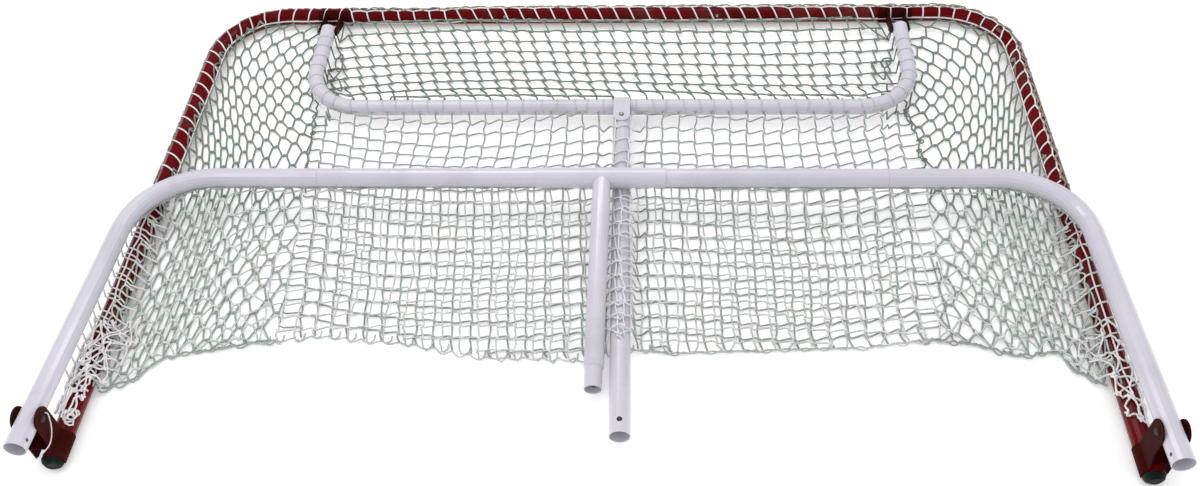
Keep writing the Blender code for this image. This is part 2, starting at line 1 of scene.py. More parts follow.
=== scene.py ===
"""Folding steel ice hockey goal, lying folded on its front face, dressed over its CAD frame.

The tubes, brackets and fasteners come from the frame and get their finishes here. The netting and its
lacing round the tubes are made here, in metres, in the frame's own axes: X to the right, Y from the post
feet towards the crossbar, Z up from the floor.
"""

import json
import logging
import math
from dataclasses import dataclass, field
from enum import Enum
from random import Random
from typing import Callable, Iterable, Sequence

import bmesh
import bpy
from bpy.types import ID, Material, Node, NodeOutputs, NodeSocket, NodeTree, Object
from mathutils import Matrix, Vector, geometry, noise
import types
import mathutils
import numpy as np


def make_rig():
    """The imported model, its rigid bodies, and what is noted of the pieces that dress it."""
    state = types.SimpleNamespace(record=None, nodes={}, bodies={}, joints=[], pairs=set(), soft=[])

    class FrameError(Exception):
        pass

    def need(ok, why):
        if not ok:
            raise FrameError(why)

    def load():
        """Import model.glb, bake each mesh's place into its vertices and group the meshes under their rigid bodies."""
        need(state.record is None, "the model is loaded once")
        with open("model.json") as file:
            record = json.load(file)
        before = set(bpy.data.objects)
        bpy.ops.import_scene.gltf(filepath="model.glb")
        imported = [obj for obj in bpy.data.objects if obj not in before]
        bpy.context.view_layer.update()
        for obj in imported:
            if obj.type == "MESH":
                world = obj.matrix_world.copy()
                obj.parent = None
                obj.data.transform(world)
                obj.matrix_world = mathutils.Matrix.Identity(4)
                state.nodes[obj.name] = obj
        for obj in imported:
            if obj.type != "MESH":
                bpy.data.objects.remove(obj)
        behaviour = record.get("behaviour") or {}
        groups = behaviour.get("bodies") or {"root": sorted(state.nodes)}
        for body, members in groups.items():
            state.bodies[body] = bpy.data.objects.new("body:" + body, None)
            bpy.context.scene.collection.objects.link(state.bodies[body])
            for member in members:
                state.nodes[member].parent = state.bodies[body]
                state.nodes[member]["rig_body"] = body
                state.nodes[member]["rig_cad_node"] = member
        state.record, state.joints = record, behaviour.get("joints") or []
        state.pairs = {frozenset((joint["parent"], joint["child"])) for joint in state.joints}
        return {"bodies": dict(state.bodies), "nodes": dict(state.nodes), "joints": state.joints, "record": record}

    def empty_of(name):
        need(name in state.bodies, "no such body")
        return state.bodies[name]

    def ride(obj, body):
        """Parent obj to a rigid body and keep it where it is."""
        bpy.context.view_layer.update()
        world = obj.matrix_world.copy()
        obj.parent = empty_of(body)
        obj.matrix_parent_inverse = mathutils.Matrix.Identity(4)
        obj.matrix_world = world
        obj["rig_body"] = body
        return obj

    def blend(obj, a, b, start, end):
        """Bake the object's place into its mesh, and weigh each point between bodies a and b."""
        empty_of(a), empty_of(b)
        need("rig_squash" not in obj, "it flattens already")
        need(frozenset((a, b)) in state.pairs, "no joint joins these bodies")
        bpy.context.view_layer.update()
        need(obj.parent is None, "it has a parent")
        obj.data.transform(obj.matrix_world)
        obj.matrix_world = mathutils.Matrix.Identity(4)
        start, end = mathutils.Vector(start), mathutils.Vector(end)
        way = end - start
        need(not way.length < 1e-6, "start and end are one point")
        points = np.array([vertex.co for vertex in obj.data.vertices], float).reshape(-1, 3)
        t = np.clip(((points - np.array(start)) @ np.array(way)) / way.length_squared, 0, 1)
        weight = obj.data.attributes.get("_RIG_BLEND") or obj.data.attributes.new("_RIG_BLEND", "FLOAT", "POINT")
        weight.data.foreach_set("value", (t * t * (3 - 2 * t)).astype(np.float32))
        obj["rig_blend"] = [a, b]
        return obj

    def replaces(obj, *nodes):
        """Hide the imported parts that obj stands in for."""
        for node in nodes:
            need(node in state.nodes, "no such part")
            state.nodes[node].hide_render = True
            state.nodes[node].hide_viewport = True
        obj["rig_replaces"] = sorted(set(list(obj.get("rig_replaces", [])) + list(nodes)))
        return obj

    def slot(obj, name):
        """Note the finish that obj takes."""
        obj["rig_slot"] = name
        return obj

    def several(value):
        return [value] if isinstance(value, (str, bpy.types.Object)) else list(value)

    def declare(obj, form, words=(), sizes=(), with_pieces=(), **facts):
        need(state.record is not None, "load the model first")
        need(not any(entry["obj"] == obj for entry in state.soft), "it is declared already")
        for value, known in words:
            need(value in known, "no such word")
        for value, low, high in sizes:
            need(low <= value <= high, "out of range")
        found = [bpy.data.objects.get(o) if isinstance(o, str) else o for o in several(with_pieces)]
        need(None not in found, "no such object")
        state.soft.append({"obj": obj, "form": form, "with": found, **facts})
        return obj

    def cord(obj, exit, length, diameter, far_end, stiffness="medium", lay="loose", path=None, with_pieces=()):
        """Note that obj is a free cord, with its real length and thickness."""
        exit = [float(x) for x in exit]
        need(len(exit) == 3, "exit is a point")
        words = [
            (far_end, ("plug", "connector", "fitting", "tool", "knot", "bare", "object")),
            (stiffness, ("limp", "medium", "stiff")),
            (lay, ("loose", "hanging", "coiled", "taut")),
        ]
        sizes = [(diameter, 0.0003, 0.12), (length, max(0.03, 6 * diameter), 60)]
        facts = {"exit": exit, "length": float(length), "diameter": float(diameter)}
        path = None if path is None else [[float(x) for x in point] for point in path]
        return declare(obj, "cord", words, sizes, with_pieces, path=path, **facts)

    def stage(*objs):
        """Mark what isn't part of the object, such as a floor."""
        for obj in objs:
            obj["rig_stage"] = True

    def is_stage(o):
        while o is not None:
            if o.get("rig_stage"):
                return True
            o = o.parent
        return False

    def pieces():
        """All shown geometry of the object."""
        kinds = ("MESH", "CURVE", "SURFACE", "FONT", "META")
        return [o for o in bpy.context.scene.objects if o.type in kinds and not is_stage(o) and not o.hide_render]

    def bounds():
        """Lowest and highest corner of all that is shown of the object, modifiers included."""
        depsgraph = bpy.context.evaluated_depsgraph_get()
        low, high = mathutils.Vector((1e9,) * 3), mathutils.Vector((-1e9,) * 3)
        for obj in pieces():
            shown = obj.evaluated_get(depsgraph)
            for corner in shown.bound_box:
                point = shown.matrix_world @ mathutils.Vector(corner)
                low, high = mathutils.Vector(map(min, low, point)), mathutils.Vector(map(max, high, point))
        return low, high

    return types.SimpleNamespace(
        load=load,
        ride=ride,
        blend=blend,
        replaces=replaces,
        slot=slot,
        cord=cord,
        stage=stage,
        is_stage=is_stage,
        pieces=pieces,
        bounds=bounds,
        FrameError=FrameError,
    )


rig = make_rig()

log = logging.getLogger("hockey_goal")

# Sizes that the netting takes from the tubes it hangs on
TUBE_RADIUS = 0.01905
FRAME_MIDDLE = 0.0045
POST_HALF = 0.933
POST_X = 0.93
CROSSBAR_Y = 0.6276
POST_CORNER = 0.150
FOOT_Y = -0.6109
BASE_HALF = 0.945
BASE_RAIL_Y = 0.0276
BASE_RAIL_Z = 0.069
BASE_PIVOT_Y = -0.5794
BASE_PIVOT_Z = 0.105
BASE_CORNER = 0.152
BASE_END = 0.055
SHELF_RADIUS = 0.01745
SHELF_MIDDLE = 0.007
SHELF_HALF = 0.675
SHELF_CORNER = 0.120
SHELF_RAIL_Y = 0.2836
SHELF_RAIL_Z = 0.030
SHELF_PIVOT_Y = 0.5416
SHELF_PIVOT_Z = 0.040
UPRIGHT_TOP = Vector((0.0395, 0.2376, 0.0294))
UPRIGHT_MOUTH = Vector((0.0525, -0.5494, 0.0195))
UPRIGHT_MIDDLE = 0.046

# The twine, and how far from the tubes' centre lines and the floor it stays
TWINE_RADIUS = 0.0018
STRAND_SIDES = 6
FLOOR_GAP = 0.0004
POST_EDGE = 0.0175
BAR_EDGE = 0.024
SHELF_EDGE = 0.020
SEAM_TOP = 0.335
SEAM_REACH = 0.045

# The vector noise takes its seed from the clock unless it is given one
DRIFT_SEED = 1795689492

# Where the camera is, and from which height its sight lines gave the meshes' places
EYE = (0.1094, -1.5544, 1.6836)
READ_HEIGHT = 0.008
EYE_ABOVE = 1.676
HIGHEST_NET = 0.046

# The steps from joint to joint of a panel's sets of strands
ACROSS = (1, 0)
DOWN = (0, -1)
SLANTS = ((1, -1), (-1, -1))


class Side(Enum):
    """The goal's two sides, as seen from the post feet."""

    LEFT = -1
    RIGHT = 1


def placed(name: str, data: ID) -> Object:
    """Puts a new object in the scene.

    Args:
        name: the object's name.
        data: its mesh, light or camera.

    Returns:
        The object, at the origin.
    """
    made = bpy.data.objects.new(name, data)
    bpy.context.scene.collection.objects.link(made)
    return made


def report(pieces: Iterable[Object]) -> None:
    """Reports each piece and its number of faces."""
    for piece in pieces:
        log.info("%s: %d faces", piece.name, len(piece.data.polygons))


# Node groups and finishes


class Wiring:
    """Short ways to add and join nodes in one tree."""

    def __init__(self, tree: NodeTree) -> None:
        """Keeps the tree that the nodes go into."""
        self.tree = tree

    def join(self, node: Node, links: dict) -> None:
        """Joins or sets a node's inputs.

        Args:
            node: the node.
            links: input name or index to an output socket or a plain value.
        """
        for key, value in links.items():
            if isinstance(value, NodeSocket):
                self.tree.links.new(value, node.inputs[key])
            else:
                node.inputs[key].default_value = value

    def add(self, kind: str, links: dict | None = None, **settings: object) -> Node:
        """Adds a node.

        Args:
            kind: the node's type.
            links: what its inputs get, as in join.
            settings: the node's own properties.

        Returns:
            The new node.
        """
        node = self.tree.nodes.new(kind)
        for key, value in settings.items():
            setattr(node, key, value)
        self.join(node, links or {})
        return node

    def ramp(self, source: NodeSocket, low: float, high: float) -> NodeSocket:
        """Returns source spread so that low gives 0 and high gives 1."""
        links = {"Value": source, "From Min": low, "From Max": high}
        return self.add("ShaderNodeMapRange", links, interpolation_type="SMOOTHSTEP").outputs["Result"]

    def maths(self, how: str, a: object, b: object = 0.0) -> NodeSocket:
        """Returns the result of one Math node."""
        return self.add("ShaderNodeMath", {0: a, 1: b}, operation=how).outputs[0]

    def times(self, a: object, b: object) -> NodeSocket:
        """Returns the product of two values."""
        return self.maths("MULTIPLY", a, b)

    def mix(self, share: object, a: object, b: object) -> NodeSocket:
        """Returns colour a turned towards colour b by share, where a plain colour has three parts."""
        a, b = ((*value, 1.0) if isinstance(value, tuple) else value for value in (a, b))
        return self.add("ShaderNodeMix", {0: share, 6: a, 7: b}, data_type="RGBA").outputs[2]

    def noise(self, place: object, scale: float, detail: float = 3.0, rough: float = 0.5) -> NodeSocket:
        """Returns a noise texture's value."""
        links = {"Vector": place, "Scale": scale, "Detail": detail, "Roughness": rough}
        return self.add("ShaderNodeTexNoise", links).outputs[0]

    def marks(self, group: NodeTree, scale: float, amount: float) -> NodeOutputs:
        """Returns the handling marks' outputs by name."""
        return self.add("ShaderNodeGroup", {"Scale": scale, "Amount": amount}, node_tree=group).outputs

    def surface(self, shader: Node, tone: NodeSocket, rough: NodeSocket, height: NodeSocket, strength: float,
                distance: float) -> None:
        """Joins a shader's colour, roughness and relief.

        Args:
            shader: the Principled shader.
            tone: the colour.
            rough: the roughness.
            height: the relief's height.
            strength: the bump's strength.
            distance: the bump's depth in metres.
        """
        bump = self.add("ShaderNodeBump", {"Strength": strength, "Distance": distance, "Height": height})
        self.join(shader, {"Base Color": tone, "Roughness": rough, "Normal": bump.outputs[0]})


def new_group(name: str, inputs: dict[str, float], outputs: Sequence[str]) -> tuple[Wiring, Node, Node]:
    """Starts a shader node group of plain values.

    Args:
        name: the group's name.
        inputs: each input's name and default.
        outputs: each output's name.

    Returns:
        The group's wiring, its Group Input node and its Group Output node.
    """
    tree = bpy.data.node_groups.new(name, "ShaderNodeTree")
    for label, default in inputs.items():
        socket = tree.interface.new_socket(label, in_out="INPUT", socket_type="NodeSocketFloat")
        socket.default_value = default
    for label in outputs:
        tree.interface.new_socket(label, in_out="OUTPUT", socket_type="NodeSocketFloat")
    w = Wiring(tree)
    return w, w.add("NodeGroupInput"), w.add("NodeGroupOutput")


def handling_group() -> NodeTree:
    """Marks that a painted tube gathers in use.

    Returns:
        A group with Scale and Amount in, and Scuffs, Grime and Waviness out.
    """
    outputs = ("Scuffs", "Grime", "Waviness")
    w, given, out = new_group("handling_marks", {"Scale": 1.0, "Amount": 0.5}, outputs)
    place = w.add("ShaderNodeTexCoord").outputs["Object"]
    links = {0: place, "Scale": given.outputs["Scale"]}
    sized = w.add("ShaderNodeVectorMath", links, operation="SCALE").outputs[0]
    patches = w.ramp(w.noise(sized, 14.0, 4.0), 0.55, 0.75)
    lines = []
    for turn, stretch, scale, low, high in (((0.2, 0.4, 0.7), (1.0, 14.0, 5.0), 60.0, 0.60, 0.68),
                                            ((0.5, 0.1, -0.9), (12.0, 1.0, 6.0), 45.0, 0.61, 0.69)):
        drawn = w.add("ShaderNodeMapping", {"Vector": sized, "Rotation": turn, "Scale": stretch})
        lines.append(w.ramp(w.noise(drawn.outputs[0], scale, 2.0), low, high))
    scuffs = w.times(w.times(w.maths("MAXIMUM", *lines), patches), given.outputs["Amount"])
    grime = w.times(w.ramp(w.noise(sized, 9.0, 6.0, 0.65), 0.45, 0.8), given.outputs["Amount"])
    w.join(out, {"Scuffs": scuffs, "Grime": grime, "Waviness": w.noise(sized, 55.0, 2.0)})
    return w.tree


def braid_group() -> NodeTree:
    """The plait of a braided twine, read from the strand's own length and turn.

    Returns:
        A group with Pitch and Strands in, and Height and Grooves out.
    """
    w, given, out = new_group("braid", {"Pitch": 0.0045, "Strands": 4.0}, ("Height", "Grooves"))
    run, turn = (w.add("ShaderNodeAttribute", attribute_name=name).outputs["Fac"] for name in ("run", "turn"))
    along = w.times(w.maths("DIVIDE", run, given.outputs["Pitch"]), math.tau)
    across = w.times(w.times(turn, given.outputs["Strands"]), math.tau)
    plait = w.maths("MAXIMUM", *(w.maths("SINE", w.maths(how, along, across)) for how in ("ADD", "SUBTRACT")))
    w.join(out, {"Height": plait, "Grooves": w.ramp(plait, 0.55, -0.25)})
    return w.tree


@dataclass(frozen=True)
class Finish:
    """A surface finish: its name, colour and gloss."""

    name: str
    colour: tuple
    roughness: float
    metallic: float = 0.0

    def start(self, **values: float | tuple) -> tuple[Material, Wiring, Node]:
        """Makes the material with its constants set.

        Args:
            values: more of the shader's inputs, with _ for each blank in their names.

        Returns:
            The material, its wiring and its Principled shader.
        """
        made = bpy.data.materials.new(self.name)
        made.use_nodes = True
        shader = made.node_tree.nodes["Principled BSDF"]
        w = Wiring(made.node_tree)
        plain = {"Base_Color": (*self.colour, 1.0), "Roughness": self.roughness, "Metallic": self.metallic}
        w.join(shader, {name.replace("_", " "): value for name, value in (plain | values).items()})
        return made, w, shader


@dataclass(frozen=True)
class Enamel(Finish):
    """Sprayed gloss enamel on steel tube or plate, with scuffs, grime and a slight orange peel."""

    worn: tuple = (0.3, 0.3, 0.3)
    deep: tuple = (0.05, 0.05, 0.05)
    dirt: tuple = (0.10, 0.09, 0.075)
    wear: float = 0.6
    gloss: float = 0.35

    def make(self, marks: NodeTree) -> Material:
        """Builds the material.

        Args:
            marks: the handling marks group.

        Returns:
            The finished material.
        """
        made, w, shader = self.start(Specular_IOR_Level=self.gloss)
        marked = w.marks(marks, 1.0, self.wear)
        place = w.add("ShaderNodeTexCoord").outputs["Object"]
        cloudy = w.ramp(w.noise(place, 5.0, 5.0, 0.6), 0.35, 0.7)
        shade = w.mix(w.times(cloudy, 0.55), self.colour, self.deep)
        dirty = w.mix(w.times(marked["Grime"], 0.4), shade, self.dirt)
        tone = w.mix(marked["Scuffs"], dirty, self.worn)
        rough = w.maths("ADD", w.times(marked["Grime"], 0.25), self.roughness)
        rough = w.maths("ADD", rough, w.times(marked["Scuffs"], 0.25))
        height = w.maths("SUBTRACT", marked["Waviness"], marked["Scuffs"])
        w.surface(shader, tone, rough, height, 0.12, 0.0004)
        return made


@dataclass(frozen=True)
class Plated(Finish):
    """Turned and plated steel, with fine tool marks and a dull film."""

    film: tuple = (0.2, 0.18, 0.15)

    def make(self, marks: NodeTree) -> Material:
        """Builds the material.

        Args:
            marks: the handling marks group.

        Returns:
            The finished material.
        """
        made, w, shader = self.start()
        marked = w.marks(marks, 4.0, 0.9)
        tone = w.mix(marked["Grime"], self.colour, self.film)
        rough = w.maths("ADD", w.times(marked["Waviness"], 0.25), self.roughness)
        height = w.maths("ADD", marked["Waviness"], marked["Scuffs"])
        w.surface(shader, tone, rough, height, 0.3, 0.0002)
        return made


@dataclass(frozen=True)
class Moulded(Finish):
    """Moulded plastic with a fine pebbled skin and rubbed patches."""

    dust: tuple = (0.06, 0.07, 0.06)
    rubbed: tuple = (0.16, 0.17, 0.16)

    def make(self, marks: NodeTree) -> Material:
        """Builds the material.

        Args:
            marks: the handling marks group.

        Returns:
            The finished material.
        """
        made, w, shader = self.start(Specular_IOR_Level=0.08)
        marked = w.marks(marks, 3.0, 0.8)
        place = w.add("ShaderNodeTexCoord").outputs["Object"]
        pebbles = w.add("ShaderNodeTexVoronoi", {"Vector": place, "Scale": 900.0}).outputs["Distance"]
        tone = w.mix(marked["Scuffs"], w.mix(marked["Grime"], self.colour, self.dust), self.rubbed)
        rough = w.maths("SUBTRACT", self.roughness, w.times(marked["Grime"], 0.15))
        w.surface(shader, tone, rough, pebbles, 0.4, 0.0002)
        return made


@dataclass(frozen=True)
class Twine(Finish):
    """Braided twine: plaited, a little fuzzy, soiled in places, with painted shade in its grooves and outline."""

    # The groove colour: painted shade in the plait's grooves, and also the tone of random darker patches along the
    # strand.
    groove: tuple = (0.2, 0.25, 0.2)
    soil: tuple = (0.3, 0.27, 0.2)
    # The edge colour is painted shade towards the strand's outline, where its surface turns away from the eye.
    edge: tuple = (0.1, 0.13, 0.1)
    # The painted tone is painted light: over the upright the twine turns near white, lit and with little shade.
    painted: tuple = (0.86, 0.85, 0.88)
    below: tuple | None = None
    on_upright: float = 0.0
    pitch: float = 0.0045

    def make(self, marks: NodeTree, braid: NodeTree) -> Material:
        """Builds the material.

        Args:
            marks: the handling marks group.
            braid: the plait group.

        Returns:
            The finished material.
        """
        made, w, shader = self.start(Sheen_Weight=0.25, Sheen_Roughness=0.5)
        marked = w.marks(marks, 0.8, 1.0)
        plait = w.add("ShaderNodeGroup", {"Pitch": self.pitch}, node_tree=braid).outputs
        place = w.add("ShaderNodeTexCoord").outputs["Object"]
        x, y = w.add("ShaderNodeSeparateXYZ", {0: place}).outputs[:2]
        strand = w.ramp(w.noise(place, 38.0), 0.35, 0.7)
        # Painted shade in the plait's grooves, then random darker patches of the same colour.
        tone = w.mix(w.times(plait["Grooves"], 0.65), self.colour, self.groove)
        tone = w.mix(w.times(strand, 0.45), tone, self.groove)
        tone = w.mix(w.times(marked["Grime"], 0.5), tone, self.soil)
        # Painted shade: the strand darkens towards its outline as its surface turns away from the eye.
        facing = w.add("ShaderNodeLayerWeight", {"Blend": 0.5}).outputs["Facing"]
        tone = w.mix(w.times(w.ramp(facing, 0.30, 0.85), 0.9), tone, self.edge)
        joint = w.add("ShaderNodeAttribute", attribute_name="joint").outputs["Fac"]
        pale = tuple(min(1.0, 1.7 * part) for part in self.colour)
        tone = w.mix(w.times(joint, 0.40), tone, pale)
        if self.below:
            tone = w.mix(w.times(w.ramp(y, 0.05, -0.04), 0.55), tone, self.below)
        # Painted light: near the upright the twine turns near white, as it is lit with little shade there.
        if self.on_upright:
            away = w.maths("ABSOLUTE", w.maths("SUBTRACT", x, UPRIGHT_MIDDLE))
            tone = w.mix(w.times(w.ramp(away, 0.030, 0.018), self.on_upright), tone, self.painted)
        fuzz = w.noise(place, 2600.0, 2.0)
        height = w.maths("ADD", plait["Height"], w.times(fuzz, 0.6))
        rough = w.maths("ADD", w.times(fuzz, 0.15), self.roughness)
        w.surface(shader, tone, rough, height, 0.6, 0.0004)
        return made


class Finishes:
    """All the goal's finishes, made once."""

    def __init__(self) -> None:
        """Builds the shared groups and every material."""
        marks, braid = handling_group(), braid_group()
        self.red = Enamel(
            "red_gloss_enamel", (0.125, 0.0008, 0.0026), 0.18, worn=(0.26, 0.05, 0.05),
            deep=(0.050, 0.0005, 0.0014), gloss=0.17,
        ).make(marks)
        self.bracket = Enamel(
            "brown_red_enamel", (0.040, 0.0030, 0.0020), 0.45, worn=(0.12, 0.03, 0.02),
            deep=(0.016, 0.003, 0.0015), wear=0.35, gloss=0.02,
        ).make(marks)
        self.white = Enamel(
            "lilac_white_enamel", (0.610, 0.586, 0.660), 0.19, worn=(0.34, 0.33, 0.33),
            deep=(0.545, 0.530, 0.598), wear=0.35, gloss=0.50,
        ).make(marks)
        self.plastic = Moulded("black_plug_plastic", (0.006, 0.011, 0.008), 0.5).make(marks)
        self.zinc = Plated("zinc_plate", (0.62, 0.62, 0.63), 0.28, 0.9).make(marks)
        self.dark = Plated(
            "dark_bolt_steel", (0.030, 0.026, 0.024), 0.42, 0.35, film=(0.035, 0.018, 0.010),
        ).make(marks)
        # The net, back and slack twines are one twine at three brightnesses; the slack copy, the upper layer, is
        # painted lighter as lit.
        self.net = Twine(
            "net_twine", (0.25, 0.31, 0.26), 0.75, groove=(0.050, 0.095, 0.060), edge=(0.02, 0.055, 0.03),
            below=(0.50, 0.54, 0.51)
        ).make(marks, braid)
        self.low_net = Twine(
            "back_net_twine", (0.44, 0.48, 0.45), 0.75, groove=(0.12, 0.155, 0.13), edge=(0.06, 0.10, 0.07),
            on_upright=0.85,
        ).make(marks, braid)
        self.slack_net = Twine(
            "slack_net_twine", (0.72, 0.75, 0.74), 0.75, groove=(0.34, 0.39, 0.36), edge=(0.13, 0.20, 0.16),
            on_upright=0.7,
        ).make(marks, braid)
        self.wrap = Twine(
            "wrap_twine", (0.93, 0.91, 0.93), 0.75, groove=(0.72, 0.69, 0.70), soil=(0.62, 0.55, 0.48),
            edge=(0.55, 0.50, 0.48)
        ).make(marks, braid)
        self.pale = Twine(
            "shelf_wrap_twine", (0.66, 0.64, 0.70), 0.7, groove=(0.56, 0.54, 0.58), soil=(0.55, 0.52, 0.53),
            edge=(0.50, 0.49, 0.54)
        ).make(marks, braid)
        self.lace = Twine(
            "lacing_cord", (0.42, 0.38, 0.29), 0.8, groove=(0.16, 0.13, 0.08), soil=(0.18, 0.13, 0.08),
            edge=(0.08, 0.07, 0.04), pitch=0.006
        ).make(marks, braid)


# Centre lines of the tubes


def arc_points(centre: tuple, radius: float, start: float, stop: float, steps: int) -> list[tuple]:
    """Works out points along an arc.

    Args:
        centre: the arc's x and y.
        radius: its radius.
        start: the angle of its first point, in degrees.
        stop: the angle of its last point.
        steps: how many equal parts it has.

    Returns:
        The (x, y) points.
    """
    turns = [math.radians(start + (stop - start) * k / steps) for k in range(steps + 1)]
    return [(centre[0] + radius * math.cos(turn), centre[1] + radius * math.sin(turn)) for turn in turns]


class TubeLine:
    """A tube's centre line with its radius, read by the length from its start."""

    def __init__(self, points: Iterable[Sequence[float]], radius: float) -> None:
        """Keeps the points and adds up their lengths.

        Args:
            points: the centre line's points.
            radius: the tube's radius.
        """
        self.points = [Vector(p) for p in points]
        self.radius = radius
        self.lengths = [0.0]
        for a, b in zip(self.points, self.points[1:]):
            self.lengths.append(self.lengths[-1] + (b - a).length)

    @property
    def length(self) -> float:
        """The line's whole length."""
        return self.lengths[-1]

    def at(self, s: float) -> tuple[Vector, Vector]:
        """Returns the point and the direction at length s.

        Args:
            s: the length along the line.

        Returns:
            The point and the direction.
        """
        s = min(max(s, 0.0), self.length - 1e-6)
        k = next(i for i in range(len(self.lengths) - 1) if self.lengths[i + 1] >= s)
        a, b = self.points[k], self.points[k + 1]
        share = (s - self.lengths[k]) / max(self.lengths[k + 1] - self.lengths[k], 1e-9)
        return a.lerp(b, share), (b - a).normalized()

    def skin(self, s: float, angle: float, lift: float = TWINE_RADIUS) -> Vector:
        """A point on the tube's surface.

        Args:
            s: length along the tube.
            angle: degrees from straight up, positive to the left of the way it runs.
            lift: how far above the surface.

        Returns:
            The point.
        """
        centre, way = self.at(s)
        up = (Vector((0, 0, 1)) - way * way.z).normalized()
        out = up.cross(way)
        turn = math.radians(angle)
        return centre + (self.radius + lift) * (math.cos(turn) * up + math.sin(turn) * out)

    def nearest(self, x: float, y: float) -> float:
        """Finds the length at which the line comes closest to a place, seen from above.

        Args:
            x: the place's x.
            y: the place's y.

        Returns:
            The length from the line's start.
        """
        best, found = math.inf, 0.0
        flat = Vector((x, y, 0.0))
        for k, (a, b) in enumerate(zip(self.points, self.points[1:])):
            a, b = Vector((a.x, a.y, 0.0)), Vector((b.x, b.y, 0.0))
            run = b - a
            share = min(max((flat - a).dot(run) / max(run.length_squared, 1e-12), 0.0), 1.0)
            gap = (a + run * share - flat).length
            if gap < best:
                best = gap
                found = self.lengths[k] + share * (self.lengths[k + 1] - self.lengths[k])
        return found

    def tie(self, x: float, y: float, *angles: float) -> list[Vector]:
        """Returns the points at these angles where the tube comes closest to x, y."""
        s = self.nearest(x, y)
        return [self.skin(s, angle) for angle in angles]


def bent_line(ends: tuple, end_y: float, rail_y: float, corner: float, steps: int,
              height: Callable[[float], float], radius: float) -> TubeLine:
    """Follows a tube from its left end, round a corner, along its rail and round to its right end.

    Args:
        ends: the x of its left and right ends.
        end_y: the y of its ends.
        rail_y: the y of its rail.
        corner: the bends' radius.
        steps: how many parts each bend has.
        height: gives the centre line's height at y.
        radius: the tube's radius.

    Returns:
        The centre line.
    """
    left, right = ends
    way = math.copysign(1, rail_y - end_y)
    low, quarter = rail_y - way * corner, way * 90
    flat = [(left, end_y)]
    flat += arc_points((left + corner, low), corner, 180, 180 - quarter, steps)
    flat += arc_points((right - corner, low), corner, 180 - quarter, 180 - 2 * quarter, steps)
    flat.append((right, end_y))
    return TubeLine([(x, y, height(y)) for x, y in flat], radius)


def front_line() -> TubeLine:
    """Returns the centre line from the left foot, over the crossbar, to the right foot."""
    ends = (FRAME_MIDDLE - POST_HALF, FRAME_MIDDLE + POST_HALF)
    return bent_line(ends, FOOT_Y, CROSSBAR_Y, POST_CORNER, 14, lambda y: TUBE_RADIUS, TUBE_RADIUS)


def base_height(y: float) -> float:
    """Returns the height of the base's centre line at y."""
    return BASE_PIVOT_Z + (BASE_RAIL_Z - BASE_PIVOT_Z) / (BASE_RAIL_Y - BASE_PIVOT_Y) * (y - BASE_PIVOT_Y)


def base_line() -> TubeLine:
    """Returns the base's centre line from its left end, along the rail, to its right end."""
    ends = (-BASE_HALF, BASE_HALF)
    return bent_line(ends, BASE_PIVOT_Y - BASE_END, BASE_RAIL_Y, BASE_CORNER, 12, base_height, TUBE_RADIUS)


def shelf_height(y: float) -> float:
    """Returns the height of the shelf's centre line at y."""
    return SHELF_RAIL_Z + (SHELF_PIVOT_Z - SHELF_RAIL_Z) / (SHELF_PIVOT_Y - SHELF_RAIL_Y) * (y - SHELF_RAIL_Y)


def shelf_line() -> TubeLine:
    """Returns the shelf's centre line from its left arm, along the rail, to its right arm."""
    ends = (SHELF_MIDDLE - SHELF_HALF, SHELF_MIDDLE + SHELF_HALF)
    return bent_line(ends, SHELF_PIVOT_Y, SHELF_RAIL_Y, SHELF_CORNER, 10, shelf_height, SHELF_RADIUS)


# Strands


def table(pairs: Sequence[tuple], x: float) -> float:
    """Returns the value at x from a table of (x, value) pairs, straight between them.

    Args:
        pairs: the pairs, in order of x.
        x: where the value is asked for.

    Returns:
        The value, which beyond either end is that of the end.
    """
    if x <= pairs[0][0]:
        return pairs[0][1]
    for (a, low), (b, high) in zip(pairs, pairs[1:]):
        if x <= b:
            return low + (high - low) * (x - a) / (b - a)
    return pairs[-1][1]


def smooth(x: float, low: float, high: float) -> float:
    """Returns a smooth step from 0 at low to 1 at high."""
    t = min(max((x - low) / (high - low), 0.0), 1.0)
    return t * t * (3 - 2 * t)


def wander(x: float, y: float, seed: float, size: float = 0.12) -> Vector:
    """Returns a slow sideways drift, in parts of about one, that neighbours share."""
    return noise.noise_vector(Vector((x / size + seed, y / size - seed, seed * 1.7)))


@dataclass
class Strands:
    """Strands of twine that will become one piece."""

    name: str
    radius: float = TWINE_RADIUS
    lines: list = field(default_factory=list)

    def add(self, points: Sequence[Vector], joints: set = frozenset()) -> None:
        """Adds one strand.

        Args:
            points: what it runs through. A point too close to the one before it is left out.
            joints: the places, rounded to five figures, that are in a joint.
        """
        kept = [Vector(points[0])]
        for p in points[1:]:
            if (Vector(p) - kept[-1]).length > 0.0008:
                kept.append(Vector(p))
        if len(kept) > 1:
            marks = [1.0 if p.to_tuple(5) in joints else 0.0 for p in kept]
            self.lines.append((kept, marks))

    def make(self, finish: Material) -> Object:
        """Turns the strands into round twine.

        Args:
            finish: the twine's material.

        Returns:
            One mesh object at the origin, in the twine's slot.
        """
        places, edges, widths, joints = [], [], [], []
        for points, marks in self.lines:
            start = len(places)
            for p, mark in zip(points, marks):
                places.append((p.x, p.y, max(p.z, self.radius + FLOOR_GAP)))
                widths.append(self.radius * (1 + 0.12 * mark))
                joints.append(mark)
            edges += [(start + k, start + k + 1) for k in range(len(points) - 1)]
        mesh = bpy.data.meshes.new(self.name)
        mesh.from_pydata(places, edges, [])
        mesh.attributes.new("width", "FLOAT", "POINT").data.foreach_set("value", widths)
        mesh.attributes.new("joint", "FLOAT", "POINT").data.foreach_set("value", joints)
        made = grow(placed(self.name, mesh), strand_tree(), {"Twine": finish, "Sides": STRAND_SIDES})
        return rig.slot(made, "net_twine")


